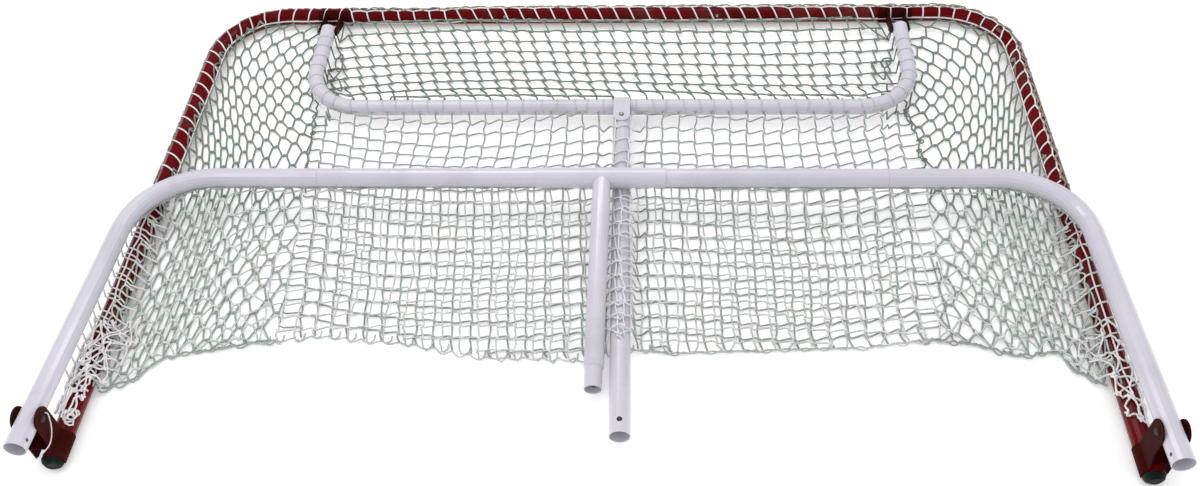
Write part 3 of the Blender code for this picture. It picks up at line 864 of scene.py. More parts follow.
def strand_tree() -> NodeTree:
    """Geometry nodes that turn edges into round strands.

    Returns:
        A tree with Geometry, Sides and Twine in, and the finished mesh out. It is built once.
    """
    found = bpy.data.node_groups.get("round_strands")
    if found:
        return found
    tree = bpy.data.node_groups.new("round_strands", "GeometryNodeTree")
    tree.interface.new_socket("Geometry", in_out="INPUT", socket_type="NodeSocketGeometry")
    sides = tree.interface.new_socket("Sides", in_out="INPUT", socket_type="NodeSocketInt")
    sides.default_value = STRAND_SIDES
    tree.interface.new_socket("Twine", in_out="INPUT", socket_type="NodeSocketMaterial")
    tree.interface.new_socket("Geometry", in_out="OUTPUT", socket_type="NodeSocketGeometry")
    w = Wiring(tree)
    given = w.add("NodeGroupInput").outputs
    out = w.add("NodeGroupOutput")
    curve = w.add("GeometryNodeMeshToCurve", {0: given["Geometry"]}).outputs[0]
    width = w.add("GeometryNodeInputNamedAttribute", {"Name": "width"}, data_type="FLOAT").outputs[0]
    thick = w.add("GeometryNodeSetCurveRadius", {"Curve": curve, "Radius": width}).outputs[0]
    ring = w.add("GeometryNodeCurvePrimitiveCircle", {"Resolution": given["Sides"], "Radius": 1.0}).outputs[0]
    kept = []
    for shape, name, measure in ((thick, "run", "Length"), (ring, "turn", "Factor")):
        value = w.add("GeometryNodeSplineParameter").outputs[measure]
        links = {"Geometry": shape, "Name": name, "Value": value}
        kept.append(w.add("GeometryNodeStoreNamedAttribute", links, data_type="FLOAT").outputs[0])
    links = {"Curve": kept[0], "Profile Curve": kept[1], "Fill Caps": True}
    tube = w.add("GeometryNodeCurveToMesh", links)
    if "Scale" in tube.inputs:
        tree.links.new(width, tube.inputs["Scale"])
    real = w.add("GeometryNodeRealizeInstances", {0: tube.outputs[0]}).outputs[0]
    dressed = w.add("GeometryNodeSetMaterial", {"Geometry": real, "Material": given["Twine"]})
    tree.links.new(dressed.outputs[0], out.inputs[0])
    return tree


def grow(made: Object, tree: NodeTree, values: dict) -> Object:
    """Runs a geometry tree on an object and keeps the result as its plain mesh.

    Args:
        made: the object, which holds the tree's input.
        tree: the geometry node tree.
        values: input name to value.

    Returns:
        The same object with the result as its mesh.
    """
    modifier = made.modifiers.new("grow", "NODES")
    modifier.node_group = tree
    for item in tree.interface.items_tree:
        if getattr(item, "in_out", "") == "INPUT" and item.name in values:
            modifier[item.identifier] = values[item.name]
    graph = bpy.context.evaluated_depsgraph_get()
    graph.update()
    mesh = bpy.data.meshes.new_from_object(made.evaluated_get(graph))
    made.modifiers.remove(modifier)
    made.data = mesh
    for face in mesh.polygons:
        face.use_smooth = True
    return made


@dataclass
class Weave:
    """A knotless net: two sets of strands that run side by side through each joint.

    Each joint has an axis. One set comes in on its near side and leaves on its far side, the other the other
    way round, so that the two strands twist half a turn about each other there.
    """

    height: Callable[[float, float], float]
    seed: int
    joint: float = 0.0056
    jitter: float = 0.0012
    drift: float = 0.003
    slack: float = 0.0025
    pull: float = 0.42
    against: bool = False
    spread: float = TWINE_RADIUS * 0.95
    steep: float = 0.0
    inside: set = field(default_factory=set)
    places: dict = field(default_factory=dict)
    axes: dict = field(default_factory=dict)
    halves: dict = field(default_factory=dict)

    def put(self, key: tuple, x: float, y: float, axis: tuple, half: float | None = None) -> None:
        """Puts a joint in the net.

        Args:
            key: the joint's numbers in the panel.
            x: where it lies.
            y: where it lies.
            axis: its direction, seen from above.
            half: its half length, if not the usual one.
        """
        self.places[key] = (x, y)
        self.halves[key] = half or self.joint
        self.axes[key] = Vector(axis).normalized()

    def settle(self) -> None:
        """Moves each joint off its exact place, slowly and a little at random."""
        chance = Random(self.seed)
        for key, (x, y) in sorted(self.places.items()):
            off = wander(x, y, self.seed) * self.drift
            x += off.x + chance.uniform(-1, 1) * self.jitter
            y += off.y + chance.uniform(-1, 1) * self.jitter
            self.places[key] = (x, y)
            turn = chance.uniform(-0.25, 0.25)
            a, c, s = self.axes[key], math.cos(turn), math.sin(turn)
            self.axes[key] = Vector((a.x * c - a.y * s, a.x * s + a.y * c))

    def through(self, key: tuple, hand: int) -> list[Vector]:
        """Returns a strand's points through a joint, hand -1 or 1 for the set that it belongs to.

        Args:
            key: the joint's numbers.
            hand: -1 or 1, for the set that the strand belongs to.

        Returns:
            The points, in the strand's order.
        """
        x, y = self.places[key]
        a = self.axes[key]
        side = Vector((-a.y, a.x))
        found = []
        for k in range(5):
            share = k / 4 if self.way(hand) > 0 else 1 - k / 4
            along = (share - 0.5) * 2 * self.halves[key]
            swing = -math.cos(math.pi * share) * self.spread * hand
            rise = math.sin(math.pi * share) * TWINE_RADIUS * 0.9 * hand
            px, py = x + a.x * along + side.x * swing, y + a.y * along + side.y * swing
            found.append(Vector((px, py, self.height(px, py) + TWINE_RADIUS + rise)))
        self.inside.update(p.to_tuple(5) for p in found)
        return found

    def way(self, hand: int) -> int:
        """Returns -1 when this set of strands runs against the joints' axes, otherwise 1."""
        return -1 if self.against and hand == 1 else 1

    def leg(self, a: Vector, way_a: Vector, b: Vector, way_b: Vector, chance: Random) -> list[Vector]:
        """Returns the points between two joints, curved as slack twine lies.

        Args:
            a: where the strand leaves the first joint.
            way_a: its direction there.
            b: where it reaches the second joint.
            way_b: its direction there.
            chance: the random source.

        Returns:
            The points between a and b, without these two.
        """
        gap = (b - a).length
        pull = gap * self.pull
        straight = (b - a).normalized() if gap > 1e-6 else Vector((0, 0, 0))
        down = Vector((0, math.copysign(self.steep, straight.y), 0))
        sway = 0.0 if self.steep else 0.35
        way_a, way_b = (straight.to_3d() + down + sway * way.to_3d() for way in (way_a, way_b))
        rise = abs(a.z - b.z)
        steps = 4 if rise < 0.006 and gap < 0.05 else 9
        bow = chance.uniform(-1, 1) * self.slack
        side = Vector((-(b - a).y, (b - a).x, 0.0)).normalized() if gap > 1e-6 else Vector((0, 0, 0))
        found = []
        for k in range(1, steps):
            t = k / steps
            h00, h10 = 2 * t**3 - 3 * t**2 + 1, t**3 - 2 * t**2 + t
            h01, h11 = -2 * t**3 + 3 * t**2, t**3 - t**2
            x = h00 * a.x + h10 * pull * way_a.x + h01 * b.x + h11 * pull * way_b.x
            y = h00 * a.y + h10 * pull * way_a.y + h01 * b.y + h11 * pull * way_b.y
            x += side.x * bow * 4 * t * (1 - t)
            y += side.y * bow * 4 * t * (1 - t)
            lift = TWINE_RADIUS + 0.0006 * math.sin(math.pi * t)
            found.append(Vector((x, y, self.height(x, y) + lift)))
        return found

    def chain(self, keys: Sequence[tuple], hand: int, chance: Random, head: list | None = None,
              tail: list | None = None) -> list[Vector]:
        """One strand through a run of joints.

        Args:
            keys: the joints in order.
            hand: which set the strand belongs to.
            chance: the random source.
            head: points before the first joint.
            tail: points after the last joint.

        Returns:
            The strand's points.
        """
        found = list(head or [])
        way = self.way(hand)
        for k, key in enumerate(keys):
            body = self.through(key, hand)
            if k:
                before = self.axes[keys[k - 1]] * way
                found += self.leg(found[-1], before, body[0], self.axes[key] * way, chance)
            elif head:
                start = (body[0] - found[-1]).normalized()
                found += self.leg(found[-1], start, body[0], self.axes[key] * way, chance)
            found += body
        if tail:
            last, stop = self.axes[keys[-1]] * way, (tail[0] - found[-1]).normalized()
            found += self.leg(found[-1], last, tail[0], stop, chance) + list(tail)
        return found

    def runs(self, step: tuple) -> list[list[tuple]]:
        """Returns every run of joints that follow each other by the step.

        Args:
            step: the step from joint to joint.

        Returns:
            The runs, each a list of joints' numbers.
        """
        found = []
        for key in sorted(self.places):
            if (key[0] - step[0], key[1] - step[1]) in self.places:
                continue
            run = [key]
            while (run[-1][0] + step[0], run[-1][1] + step[1]) in self.places:
                run.append((run[-1][0] + step[0], run[-1][1] + step[1]))
            found.append(run)
        return found

    def weave(self, piece: Strands, first: tuple, second: tuple,
              end: Callable[[tuple, tuple, bool], list | None]) -> None:
        """Adds both sets of strands to a piece.

        Args:
            piece: what the strands are added to.
            first: the step from joint to joint of the first set.
            second: the step of the second set.
            end: gives the points beyond a run's first or last joint, from its key, the step and whether
                it is the run's end.
        """
        chance = Random(self.seed + 5)
        for hand, step in ((1, first), (-1, second)):
            for run in self.runs(step):
                head, tail = end(run[0], step, False), end(run[-1], step, True)
                if len(run) > 1 or head or tail:
                    piece.add(self.chain(run, hand, chance, head, tail), joints=self.inside)


# Where the netting lies


def tube_hump(x: float, y: float, a: Vector, b: Vector, radius: float, spread: float) -> float:
    """Height of a net that lies over a tube between a and b, zero away from it.

    Args:
        x: where the point lies.
        y: where the point lies.
        a: one end of the tube's centre line.
        b: its other end.
        radius: how far from that line the net lies.
        spread: over what width the net comes down again.

    Returns:
        The height above the floor, in metres.
    """
    if not min(a.y, b.y) - 0.01 <= y <= max(a.y, b.y) + 0.01:
        return 0.0
    share = (y - a.y) / (b.y - a.y)
    centre, middle = a.x + (b.x - a.x) * share, a.z + (b.z - a.z) * share
    away = abs(x - centre)
    grip = radius * 0.86
    if away <= grip:
        return middle + math.sqrt(max(radius**2 - away**2, 0.0))
    edge = middle + math.sqrt(radius**2 - grip**2)
    return edge * max(0.0, 1 - smooth(away, grip, grip + spread))


def top_height(x: float, y: float) -> float:
    """Height of the netting between the crossbar and the shelf rail.

    Args:
        x: where the point lies.
        y: where the point lies.

    Returns:
        The height above the floor, in metres.
    """
    low = 0.0035 + 0.0015 * noise.noise(Vector((x * 9, y * 9, 3.1)))
    near_bar = 0.0165 * smooth(y, 0.555, 0.606)
    climb = 0.0400 * smooth(y, 0.385, 0.3000)
    return low + near_bar + climb


def back_height(x: float, y: float) -> float:
    """Height of the netting's lower layer, between the shelf rail and the fold.

    Args:
        x: where the point lies.
        y: where the point lies.

    Returns:
        The height above the floor, in metres.
    """
    low = 0.0010 + 0.0008 * noise.noise(Vector((x * 11, y * 11, 7.7)))
    rail = 0.030 * smooth(y, 0.215, 0.262) if abs(x) < 0.62 else 0.0
    over = tube_hump(x, y, UPRIGHT_TOP, UPRIGHT_MOUTH, 0.0205, 0.030)
    return max(low + rail, over)


def slack_height(x: float, y: float) -> float:
    """Height of the netting's upper layer, which hangs from the base rail and lies back over the lower.

    Args:
        x: where the point lies.
        y: where the point lies.

    Returns:
        The height above the floor, in metres.
    """
    low = 0.0056 + 0.0012 * noise.noise(Vector((x * 10, y * 10, 1.3)))
    rail = 0.0400 * smooth(y, -0.085, 0.030)
    over = tube_hump(x, y, UPRIGHT_TOP, UPRIGHT_MOUTH, 0.0240, 0.012)
    return max(low + rail, over)


def frame_gap(x: float, y: float) -> float:
    """Returns how far inside the posts' and crossbar's centre line a point is.

    Args:
        x: where the point lies.
        y: where the point lies.

    Returns:
        The distance in metres, below zero outside.
    """
    away = abs(x - FRAME_MIDDLE)
    low, mid = CROSSBAR_Y - POST_CORNER, POST_HALF - POST_CORNER
    if away > mid and y > low:
        return POST_CORNER - math.hypot(away - mid, y - low)
    return min(POST_HALF - away, CROSSBAR_Y - y)


def side_height(x: float, y: float) -> float:
    """Height of the netting between a post and the seam, which hangs from the post's inner flank.

    Args:
        x: where the point lies.
        y: where the point lies.

    Returns:
        The height above the floor, in metres.
    """
    low = 0.0022 + 0.0015 * noise.noise(Vector((x * 9, y * 9, 5.2)))
    away = frame_gap(x, y)
    if away < 0.0188:
        flank = TUBE_RADIUS + math.sqrt(TUBE_RADIUS**2 - max(away, 0.0) ** 2)
    else:
        flank = 0.0215 * (1 - smooth(away, 0.0185, 0.036))
    post = flank * smooth(abs(x), 0.78, 0.86)
    bar = 0.011 * smooth(y, 0.560, 0.608)
    return max(low, post, low + bar)


@dataclass(frozen=True)
class Patch:
    """A part of a panel that bends evenly between the front frame and the shelf.

    Each corner is x, y and the share of the bend there. The lines bound the patch, and each is an x, y on it
    and its way out.
    """

    corners: tuple
    lines: tuple

    def bend(self) -> tuple[Vector, Vector]:
        """Finds where the bend starts and ends.

        Returns:
            The point of no bend and the point of full bend, in the direction in which the share grows.
        """
        (ax, ay, at), (bx, by, bt), (cx, cy, ct) = self.corners
        ux, uy, vx, vy = bx - ax, by - ay, cx - ax, cy - ay
        whole = ux * vy - uy * vx
        across = ((bt - at) * vy - (ct - at) * uy) / whole
        along = ((ct - at) * ux - (bt - at) * vx) / whole
        slope = Vector((across, along, 0.0))
        start = Vector((ax, ay, 0.03)) - slope * (at / slope.length_squared)
        return start, start + slope / slope.length_squared


# The shelf's share of the bend along the seam, from the shelf rail down, as (y, share)
BENDS = ((0.30, 1.0), (0.25, 0.82), (0.19, 0.67), (0.06, 0.545), (-0.40, 0.409))
LAST_BEND = len(BENDS) - 2
PATCH_ARM = 0.66
PATCH_BAR_Y = 0.62
PATCH_ARM_Y = 0.54


def back_patches() -> list[Patch]:
    """Divides the lower layer.

    Returns:
        Its patches, from the shelf rail down.
    """
    rows = [(SHELF_RAIL_Y, 1.0), *BENDS[1:]]
    found = []
    for k, ((y, t), (below, u)) in enumerate(zip(rows, rows[1:])):
        lines = [(0.0, y, 0.0, 1.0)] if k else []
        if k < LAST_BEND:
            lines.append((0.0, below, 0.0, -1.0))
        found.append(Patch(((0.0, y, t), (1.0, y, t), (0.0, below, u)), tuple(lines)))
    return found


def slanting(a: tuple, b: tuple, up: bool) -> tuple:
    """Returns the line through a and b, with its way out up or down.

    Args:
        a: one point of the line.
        b: another.
        up: whether its way out points towards +Y.

    Returns:
        The point a and the way out, as x, y, x and y.
    """
    out = Vector((-(b[1] - a[1]), b[0] - a[0]))
    out = out if (out.y > 0) == up else -out
    return (a[0], a[1], out.x, out.y)


def side_patches(sign: int) -> list[Patch]:
    """Divides a side between the post and the seam into triangles, and one strip at the crossbar.

    Args:
        sign: -1 left, 1 right.

    Returns:
        The patches, from the crossbar down.
    """
    post, arm, rail = sign * POST_X, sign * PATCH_ARM, BENDS[0][0]
    bar, hinge = (post, PATCH_BAR_Y), (arm, PATCH_ARM_Y)
    high_corners = ((arm, PATCH_BAR_Y, 0.0), (*bar, 0.0), (*hinge, 1.0))
    low_corners = ((*bar, 0.0), (post, rail, 0.0), (arm, rail, 1.0))
    found = [Patch(high_corners, (slanting(bar, hinge, False),)),
             Patch(low_corners, (slanting(bar, hinge, True), (0.0, rail, 0.0, -1.0)))]
    for k, ((y, t), (below, v)) in enumerate(zip(BENDS, BENDS[1:])):
        start, low = (post, y), (seam(sign, below), below)
        top = (0.0, y, 0.0, 1.0)
        floor = ((0.0, below, 0.0, -1.0),) if k < LAST_BEND else ()
        for third, up in (((seam(sign, y), y, t), False), ((post, below, 0.0), True)):
            found.append(Patch(((*start, 0.0), third, (*low, v)), (top, slanting(start, low, up), *floor)))
    return found


def divide(whole: Object, patches: Sequence[Patch], node: str) -> list[Object]:
    """Divides a finished panel into patches that share their cut edges, and lets each bend with the shelf.

    Args:
        whole: the panel, which is used up.
        patches: the patches, which cover it.
        node: the frame's node that the patches stand for.

    Returns:
        One object per patch.
    """
    found = []
    for number, patch in enumerate(patches, 1):
        cut = bmesh.new()
        cut.from_mesh(whole.data)
        for x, y, out_x, out_y in patch.lines:
            bmesh.ops.bisect_plane(cut, geom=cut.verts[:] + cut.edges[:] + cut.faces[:], dist=1e-7,
                                   plane_co=(x, y, 0.0), plane_no=(out_x, out_y, 0.0), clear_outer=True)
        data = bpy.data.meshes.new(f"{whole.name}_{number}")
        cut.to_mesh(data)
        cut.free()
        for finish in whole.data.materials:
            data.materials.append(finish)
        made = placed(data.name, data)
        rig.slot(made, "net_twine")
        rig.blend(made, "front_frame", "shelf", *patch.bend())
        found.append(made)
    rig.replaces(found[0], node)
    bpy.data.objects.remove(whole)
    return found


LEFT_EDGE = [(-0.915, -0.470), (-0.908, -0.457), (-0.848, -0.434), (-0.811, -0.385), (-0.766, -0.372),
             (-0.707, -0.362), (-0.641, -0.346), (-0.52, -0.330), (-0.364, -0.345), (-0.291, -0.358),
             (-0.197, -0.376), (-0.032, -0.378)]
RIGHT_EDGE = [(0.069, -0.355), (0.147, -0.363), (0.38, -0.352), (0.482, -0.348), (0.625, -0.327),
              (0.696, -0.337), (0.771, -0.361), (0.845, -0.354), (0.864, -0.388), (0.913, -0.424),
              (0.925, -0.450)]
SLACK_EDGE = LEFT_EDGE + RIGHT_EDGE
LEFT_SEAM = [(-0.35, -0.600), (-0.12, -0.612), (0.125, -0.639), (0.187, -0.643), (0.241, -0.650),
             (0.307, -0.652), (0.342, -0.664), (0.40, -0.676)]
RIGHT_SEAM = [(-0.35, 0.640), (-0.12, 0.664), (0.125, 0.681), (0.17, 0.677), (0.248, 0.672), (0.33, 0.668),
              (0.38, 0.670)]


def slack_edge(x: float) -> float:
    """Returns how far the slack netting reaches towards the feet at x."""
    return table(SLACK_EDGE, x)


def seam(sign: int, y: float) -> float:
    """Returns the seam's x at y, for the side with this sign."""
    return table(LEFT_SEAM if sign < 0 else RIGHT_SEAM, y)


def under_base(x: float) -> float:
    """Returns the y of the base's centre line over x, along the rail and round its corners.

    Args:
        x: where the line is asked for.

    Returns:
        The line's y.
    """
    away = abs(x)
    middle = BASE_HALF - BASE_CORNER
    if away <= middle:
        return BASE_RAIL_Y
    reach = min(away - middle, BASE_CORNER - 0.001)
    return BASE_RAIL_Y - BASE_CORNER + math.sqrt(BASE_CORNER**2 - reach**2)


def square_limit(y: float) -> float:
    """Returns how far out from the middle the square-hung slack reaches at y."""
    return 0.775 - 0.40 * max(0.0, BASE_RAIL_Y - y)


def inside_shelf(x: float, y: float, margin: float = 0.0) -> bool:
    """Tells whether a point is inside the shelf's bent tube.

    Args:
        x: where the point lies.
        y: where the point lies.
        margin: how much smaller than the tube's centre line the outline is.

    Returns:
        Whether it is inside.
    """
    away = abs(x - SHELF_MIDDLE)
    reach = SHELF_HALF - margin
    low = SHELF_RAIL_Y + SHELF_CORNER
    if y >= low:
        return away < reach
    mid = SHELF_HALF - SHELF_CORNER
    if away <= mid:
        return y > SHELF_RAIL_Y + margin
    return math.hypot(away - mid, y - low) < SHELF_CORNER - margin


@dataclass(frozen=True)
class Lie:
    """How a panel lies: a smooth map from mesh numbers, across and down, to places on the floor."""

    across: tuple
    down: tuple
    x_terms: tuple
    y_terms: tuple
    power: int = 3
    stride: int = 1

    def exact(self, m: float, n: float) -> Vector:
        """Returns the map's own value.

        Args:
            m: the mesh's number across.
            n: its number down.

        Returns:
            The place.
        """
        pairs = [(p, q) for p in range(self.power + 1) for q in range(self.power + 1 - p)]
        shares = [(m / 10) ** p * (n / 10) ** q for p, q in pairs]
        return Vector([sum(a * b for a, b in zip(shares, terms)) for terms in (self.x_terms, self.y_terms)])

    def spot(self, m: float, n: float) -> Vector:
        """Returns the place of mesh m across and n down, carried straight on beyond the map's limits.

        Args:
            m: the mesh's number across.
            n: its number down.

        Returns:
            The place.
        """
        kept_m = min(max(m, self.across[0]), self.across[1])
        kept_n = min(max(n, self.down[0]), self.down[1])
        place = self.exact(kept_m, kept_n)
        if m != kept_m:
            back = math.copysign(self.stride, m - kept_m)
            place += (place - self.exact(kept_m - back, kept_n)) * (m - kept_m) / back
        if n != kept_n:
            back = math.copysign(self.stride, n - kept_n)
            step = self.exact(kept_m, kept_n) - self.exact(kept_m, kept_n - back)
            place += step * (n - kept_n) / back
        return place


LEFT_SIDE = Lie(
    (-12, 7), (-10, 7),
    (-0.7748, 0.0856, 0.0074, -0.0009, 0.0275, 0.1797, -0.0294, 0.0697, 0.0181, 0.046, 0.0365, 0.0098,
     -0.0261, 0.0448, -0.0256),
    (0.2861, -0.293, 0.041, 0.0077, -0.0122, 0.0145, 0.0693, -0.0171, 0.0196, -0.003, 0.0103, 0.0333,
     0.0533, -0.027, 0.022),
    power=4, stride=2,
)
RIGHT_SIDE = Lie(
    (-8, 12), (-10, 7),
    (0.7954, -0.0608, -0.0415, 0.0244, -0.0025, 0.1658, -0.0238, 0.0855, -0.026, -0.0594, -0.028, 0.0637,
     0.0007, -0.0007, 0.0183),
    (0.2776, -0.3047, 0.0484, 0.0176, -0.0187, -0.0126, -0.114, 0.0387, 0.0484, -0.0071, 0.0311, 0.0185,
     -0.0272, 0.0332, 0.0097),
    power=4, stride=2,
)
TOP = Lie(
    (-18, 18), (-3, 4),
    (0.0025, 0.0578, 0.019, 0.0342, 0.3771, -0.0571, 0.0636, 0.0046, -0.0115, -0.0042),
    (0.4757, -0.3725, 0.114, 0.0672, -0.0109, -0.0112, -0.0212, -0.0021, -0.008, 0.0056),
)
LEFT_BACK = Lie(
    (-10, 7), (-3, 3),
    (-0.2833, -0.0124, -0.0616, -0.0984, 0.3696, -0.0151, -0.0233, 0.0053, 0.0416, -0.0125),
    (0.1593, -0.345, 0.2006, 0.2285, -0.0048, -0.0353, 0.1678, 0.0477, -0.0549, -0.0139),
)
RIGHT_BACK = Lie(
    (-7, 9), (-3, 2),
    (0.3669, -0.0007, 0.0379, -0.1133, 0.372, 0.0079, 0.0312, -0.0034, -0.0067, -0.0121),
    (0.1666, -0.3717, 0.1584, 0.1319, 0.0018, 0.0039, -0.12, 0.0386, 0.0301, 0.0163),
)


def lowered(place: Vector, height: Callable[[float, float], float]) -> Vector:
    """Moves a place that was read at READ_HEIGHT along its sight line, to where the net has its own height.

    Args:
        place: the place as read.
        height: gives the net's height at x, y.

    Returns:
        The place on the net.
    """
    z = HIGHEST_NET
    while z > 0.0:
        found = place + (Vector(EYE[:2]) - place) * ((z - READ_HEIGHT) / EYE_ABOVE)
        if height(found.x, found.y) >= z:
            break
        z -= 0.0012
    return found


def fold_loops(chance: Random, start: float, stop: float, wide: tuple, deep: tuple, rise: tuple,
               sign: int = 1) -> list[Vector]:
    """Loops of twine along the fold, one a mesh.

    Args:
        chance: the random source.
        start: how far out the first loop is.
        stop: how far out the last one begins.
        wide: a loop's width, and the least and most share of it.
        deep: a loop's depth, and the least and most share of it.
        rise: how far above the fold in y, and over the floor, the strand starts.
        sign: -1 when the loops run to the left.

    Returns:
        The strand's points.
    """
    found = []
    while start < stop:
        width = wide[0] * chance.uniform(*wide[1:])
        depth = deep[0] * chance.uniform(*deep[1:])
        for k in range(5):
            t = k / 5
            x = sign * (start + width * t)
            y = slack_edge(x) + rise[0] - depth * math.sin(math.pi * t)
            found.append(Vector((x, y, rise[1] + 0.004 * t)))
        start += width
    return found


@dataclass
class Netting:
    """The goal's netting: top, back, slack and the two sides.

    Each of its open loops is a place, its half width and half length, and its turn in radians.
    """

    finishes: Finishes
    front: TubeLine
    base: TubeLine
    shelf: TubeLine
    pitch: float = 0.0380
    slack_rows: tuple = (0.022, -0.012, -0.045, -0.078, -0.112, -0.146, -0.180, -0.213, -0.245, -0.276,
                         -0.306, -0.335, -0.362)
    loops: tuple = (((-0.646, 0.418), (0.017, 0.030), -0.5), ((-0.632, 0.462), (0.009, 0.030), 0.1),
                    ((-0.624, 0.385), (0.010, 0.024), 0.5), ((0.624, 0.430), (0.012, 0.032), 0.2),
                    ((0.642, 0.456), (0.010, 0.018), -0.4))
    hung: Weave | None = None

    def at_slack(self, x: float, y: float, reach: float = 0.040) -> list[Vector] | None:
        """Finds the closest joint of the square-hung slack, which is laid by then.

        Args:
            x: where to look.
            y: where to look.
            reach: how far a joint may be.

        Returns:
            The joint's place, or None when no joint is that close.
        """
        found = min(self.hung.places.values(), key=lambda p: (p[0] - x) ** 2 + (p[1] - y) ** 2)
        if math.hypot(found[0] - x, found[1] - y) > reach:
            return None
        return [Vector((*found, self.hung.height(*found) + TWINE_RADIUS))]

    def at_seam(self, sign: int, y: float, x: float) -> list[Vector] | None:
        """Returns the point on the seam at y, when x is close to it."""
        place = seam(sign, y)
        return [Vector((place, y, 0.0075))] if abs(place - x) < SEAM_REACH else None

    def at_wrap(self, x: float, y: float, angle: float) -> list[Vector]:
        """Returns the point at this angle of the wrap round the front frame that is closest to x, y."""
        s = round(self.front.nearest(x, y) / self.pitch) * self.pitch
        return [self.front.skin(s, angle)]

    def top(self, measured: float = 4.3) -> Object:
        """Builds the netting between the crossbar and the shelf rail.

        Args:
            measured: the row down to which the map holds. Below it the rows go on evenly.

        Returns:
            The piece.
        """
        piece = Strands("netting_top", radius=0.0019)
        net = Weave(top_height, 11, drift=0.0022, jitter=0.0010, slack=0.0016, against=True, spread=0.0012)
        for i in range(-24, 24):
            for j in range(-6, 8):
                n = j - 0.5
                spot = TOP.spot(i - 0.5, min(n, measured))
                if n > measured:
                    spot += Vector((0.004, -0.0175)) * (n - measured)
                x, y = lowered(spot, top_height)
                if inside_shelf(x, y, 0.018) and SHELF_RAIL_Y + 0.013 < y < CROSSBAR_Y - 0.020:
                    tilt = table([(-0.6, 0.05), (-0.2, 0.16), (0.3, 0.18), (0.6, 0.0)], x)
                    net.put((i, -j), x, max(y, SHELF_RAIL_Y + 0.021), (-0.98, tilt), 0.0062)
        net.settle()

        def end(key: tuple, step: tuple, last: bool) -> list | None:
            """Ties a strand to the crossbar, the shelf rail or an arm, as Weave.weave asks.

            Args:
                key: the joint's numbers.
                step: the strand's step from joint to joint.
                last: whether the joint is the strand's last one, otherwise its first.

            Returns:
                The points beyond the joint, or None where the strand stops at it.
            """
            x, y = net.places[key]
            if step == DOWN and not last and y > 0.54:
                return self.front.tie(x - 0.014, CROSSBAR_Y, -88)
            if step == DOWN and last:
                return self.shelf.tie(x + 0.012, SHELF_RAIL_Y, 60, 30)
            sign = 1 if last == (step[0] > 0) else -1
            run = 0.080 if y < SHELF_RAIL_Y + 0.030 else 0.030
            return self.shelf.tie(x + sign * run, y, 75)

        net.weave(piece, ACROSS, DOWN, end)
        self.gathers(piece)
        made = piece.make(self.finishes.net)
        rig.replaces(made, "net_top")
        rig.blend(made, "front_frame", "shelf", (0.0, 0.600, 0.03), (0.0, 0.500, 0.03))
        return made

    def gathers(self, piece: Strands) -> None:
        """Adds the open loops where the top meets the shelf's arms.

        Args:
            piece: what the loops are added to.
        """
        for spot, size, turn in self.loops:
            ring = []
            for k in range(15):
                a = math.tau * k / 14
                u, v = size[0] * math.cos(a), size[1] * math.sin(a)
                wobble = 1 + 0.12 * math.sin(3 * a + spot[0])
                x = spot[0] + (u * math.cos(turn) - v * math.sin(turn)) * wobble
                y = spot[1] + (u * math.sin(turn) + v * math.cos(turn)) * wobble
                if inside_shelf(x, y, 0.012):
                    ring.append(Vector((x, y, 0.011 + 0.003 * math.sin(2 * a))))
            piece.add(ring)

    def back_spot(self, i: float, n: float, measured: float = 1.8) -> Vector:
        """Finds where a joint of the lower layer lies, on the left map, the right one or between them.

        Args:
            i: the joint's number across.
            n: its number down.
            measured: the row down to which the maps hold. Below it the rows go on evenly.

        Returns:
            Its place, as read.
        """
        kept = min(n, measured)
        if i <= 7:
            spot = LEFT_BACK.spot(i, kept)
        elif i >= 11:
            spot = RIGHT_BACK.spot(i - 18, kept)
        else:
            spot = LEFT_BACK.spot(7, kept).lerp(RIGHT_BACK.spot(-7, kept), (i - 7) / 4)
        if n > kept:
            lean = table([(-0.6, 0.004), (0.0, 0.002), (0.6, -0.003)], spot.x)
            spot += Vector((lean, -0.0345)) * (n - kept)
        return spot

    def back(self) -> list[Object]:
        """Builds the lower layer, from the shelf rail to the fold.

        Returns:
            The piece's patches.
        """
        piece = Strands("netting_back", radius=0.0017)
        net = Weave(back_height, 23, joint=0.0042, drift=0.0030, jitter=0.0014, slack=0.0018, spread=0.0026)
        tilts = [(-0.66, 0.30), (-0.40, 0.55), (0.0, 0.45), (0.40, 0.40), (0.60, 0.20), (0.68, 0.10)]
        for i in range(-14, 32):
            for j in range(-7, 20):
                x, y = lowered(self.back_spot(i - 0.5, j - 0.5), back_height)
                if y < slack_edge(x) + 0.012 or not seam(-1, y) + 0.010 < x < seam(1, y) - 0.010:
                    continue
                if y > (0.262 if abs(x) < 0.55 else 0.300) or (y > 0.24 and inside_shelf(x, y, -0.014)):
                    continue
                tilt = table(tilts, x)
                net.put((i, -j), x, y, (tilt, -math.sqrt(1 - tilt * tilt)))
        net.settle()

        def end(key: tuple, step: tuple, last: bool) -> list | None:
            """Ties a strand to the shelf rail, the seam or the fold, as Weave.weave asks.

            Args:
                key: the joint's numbers.
                step: the strand's step from joint to joint.
                last: whether the joint is the strand's last one, otherwise its first.

            Returns:
                The points beyond the joint, or None where the strand stops at it.
            """
            x, y = net.places[key]
            if step == ACROSS:
                return self.at_seam(1 if last else -1, y, x)
            if last:
                return [Vector((x + 0.006, slack_edge(x) + 0.004, 0.004))]
            return self.shelf.tie(x - 0.002, SHELF_RAIL_Y, -95) if y > 0.2 else None

        net.weave(piece, ACROSS, DOWN, end)
        return divide(piece.make(self.finishes.low_net), back_patches(), "net_back")

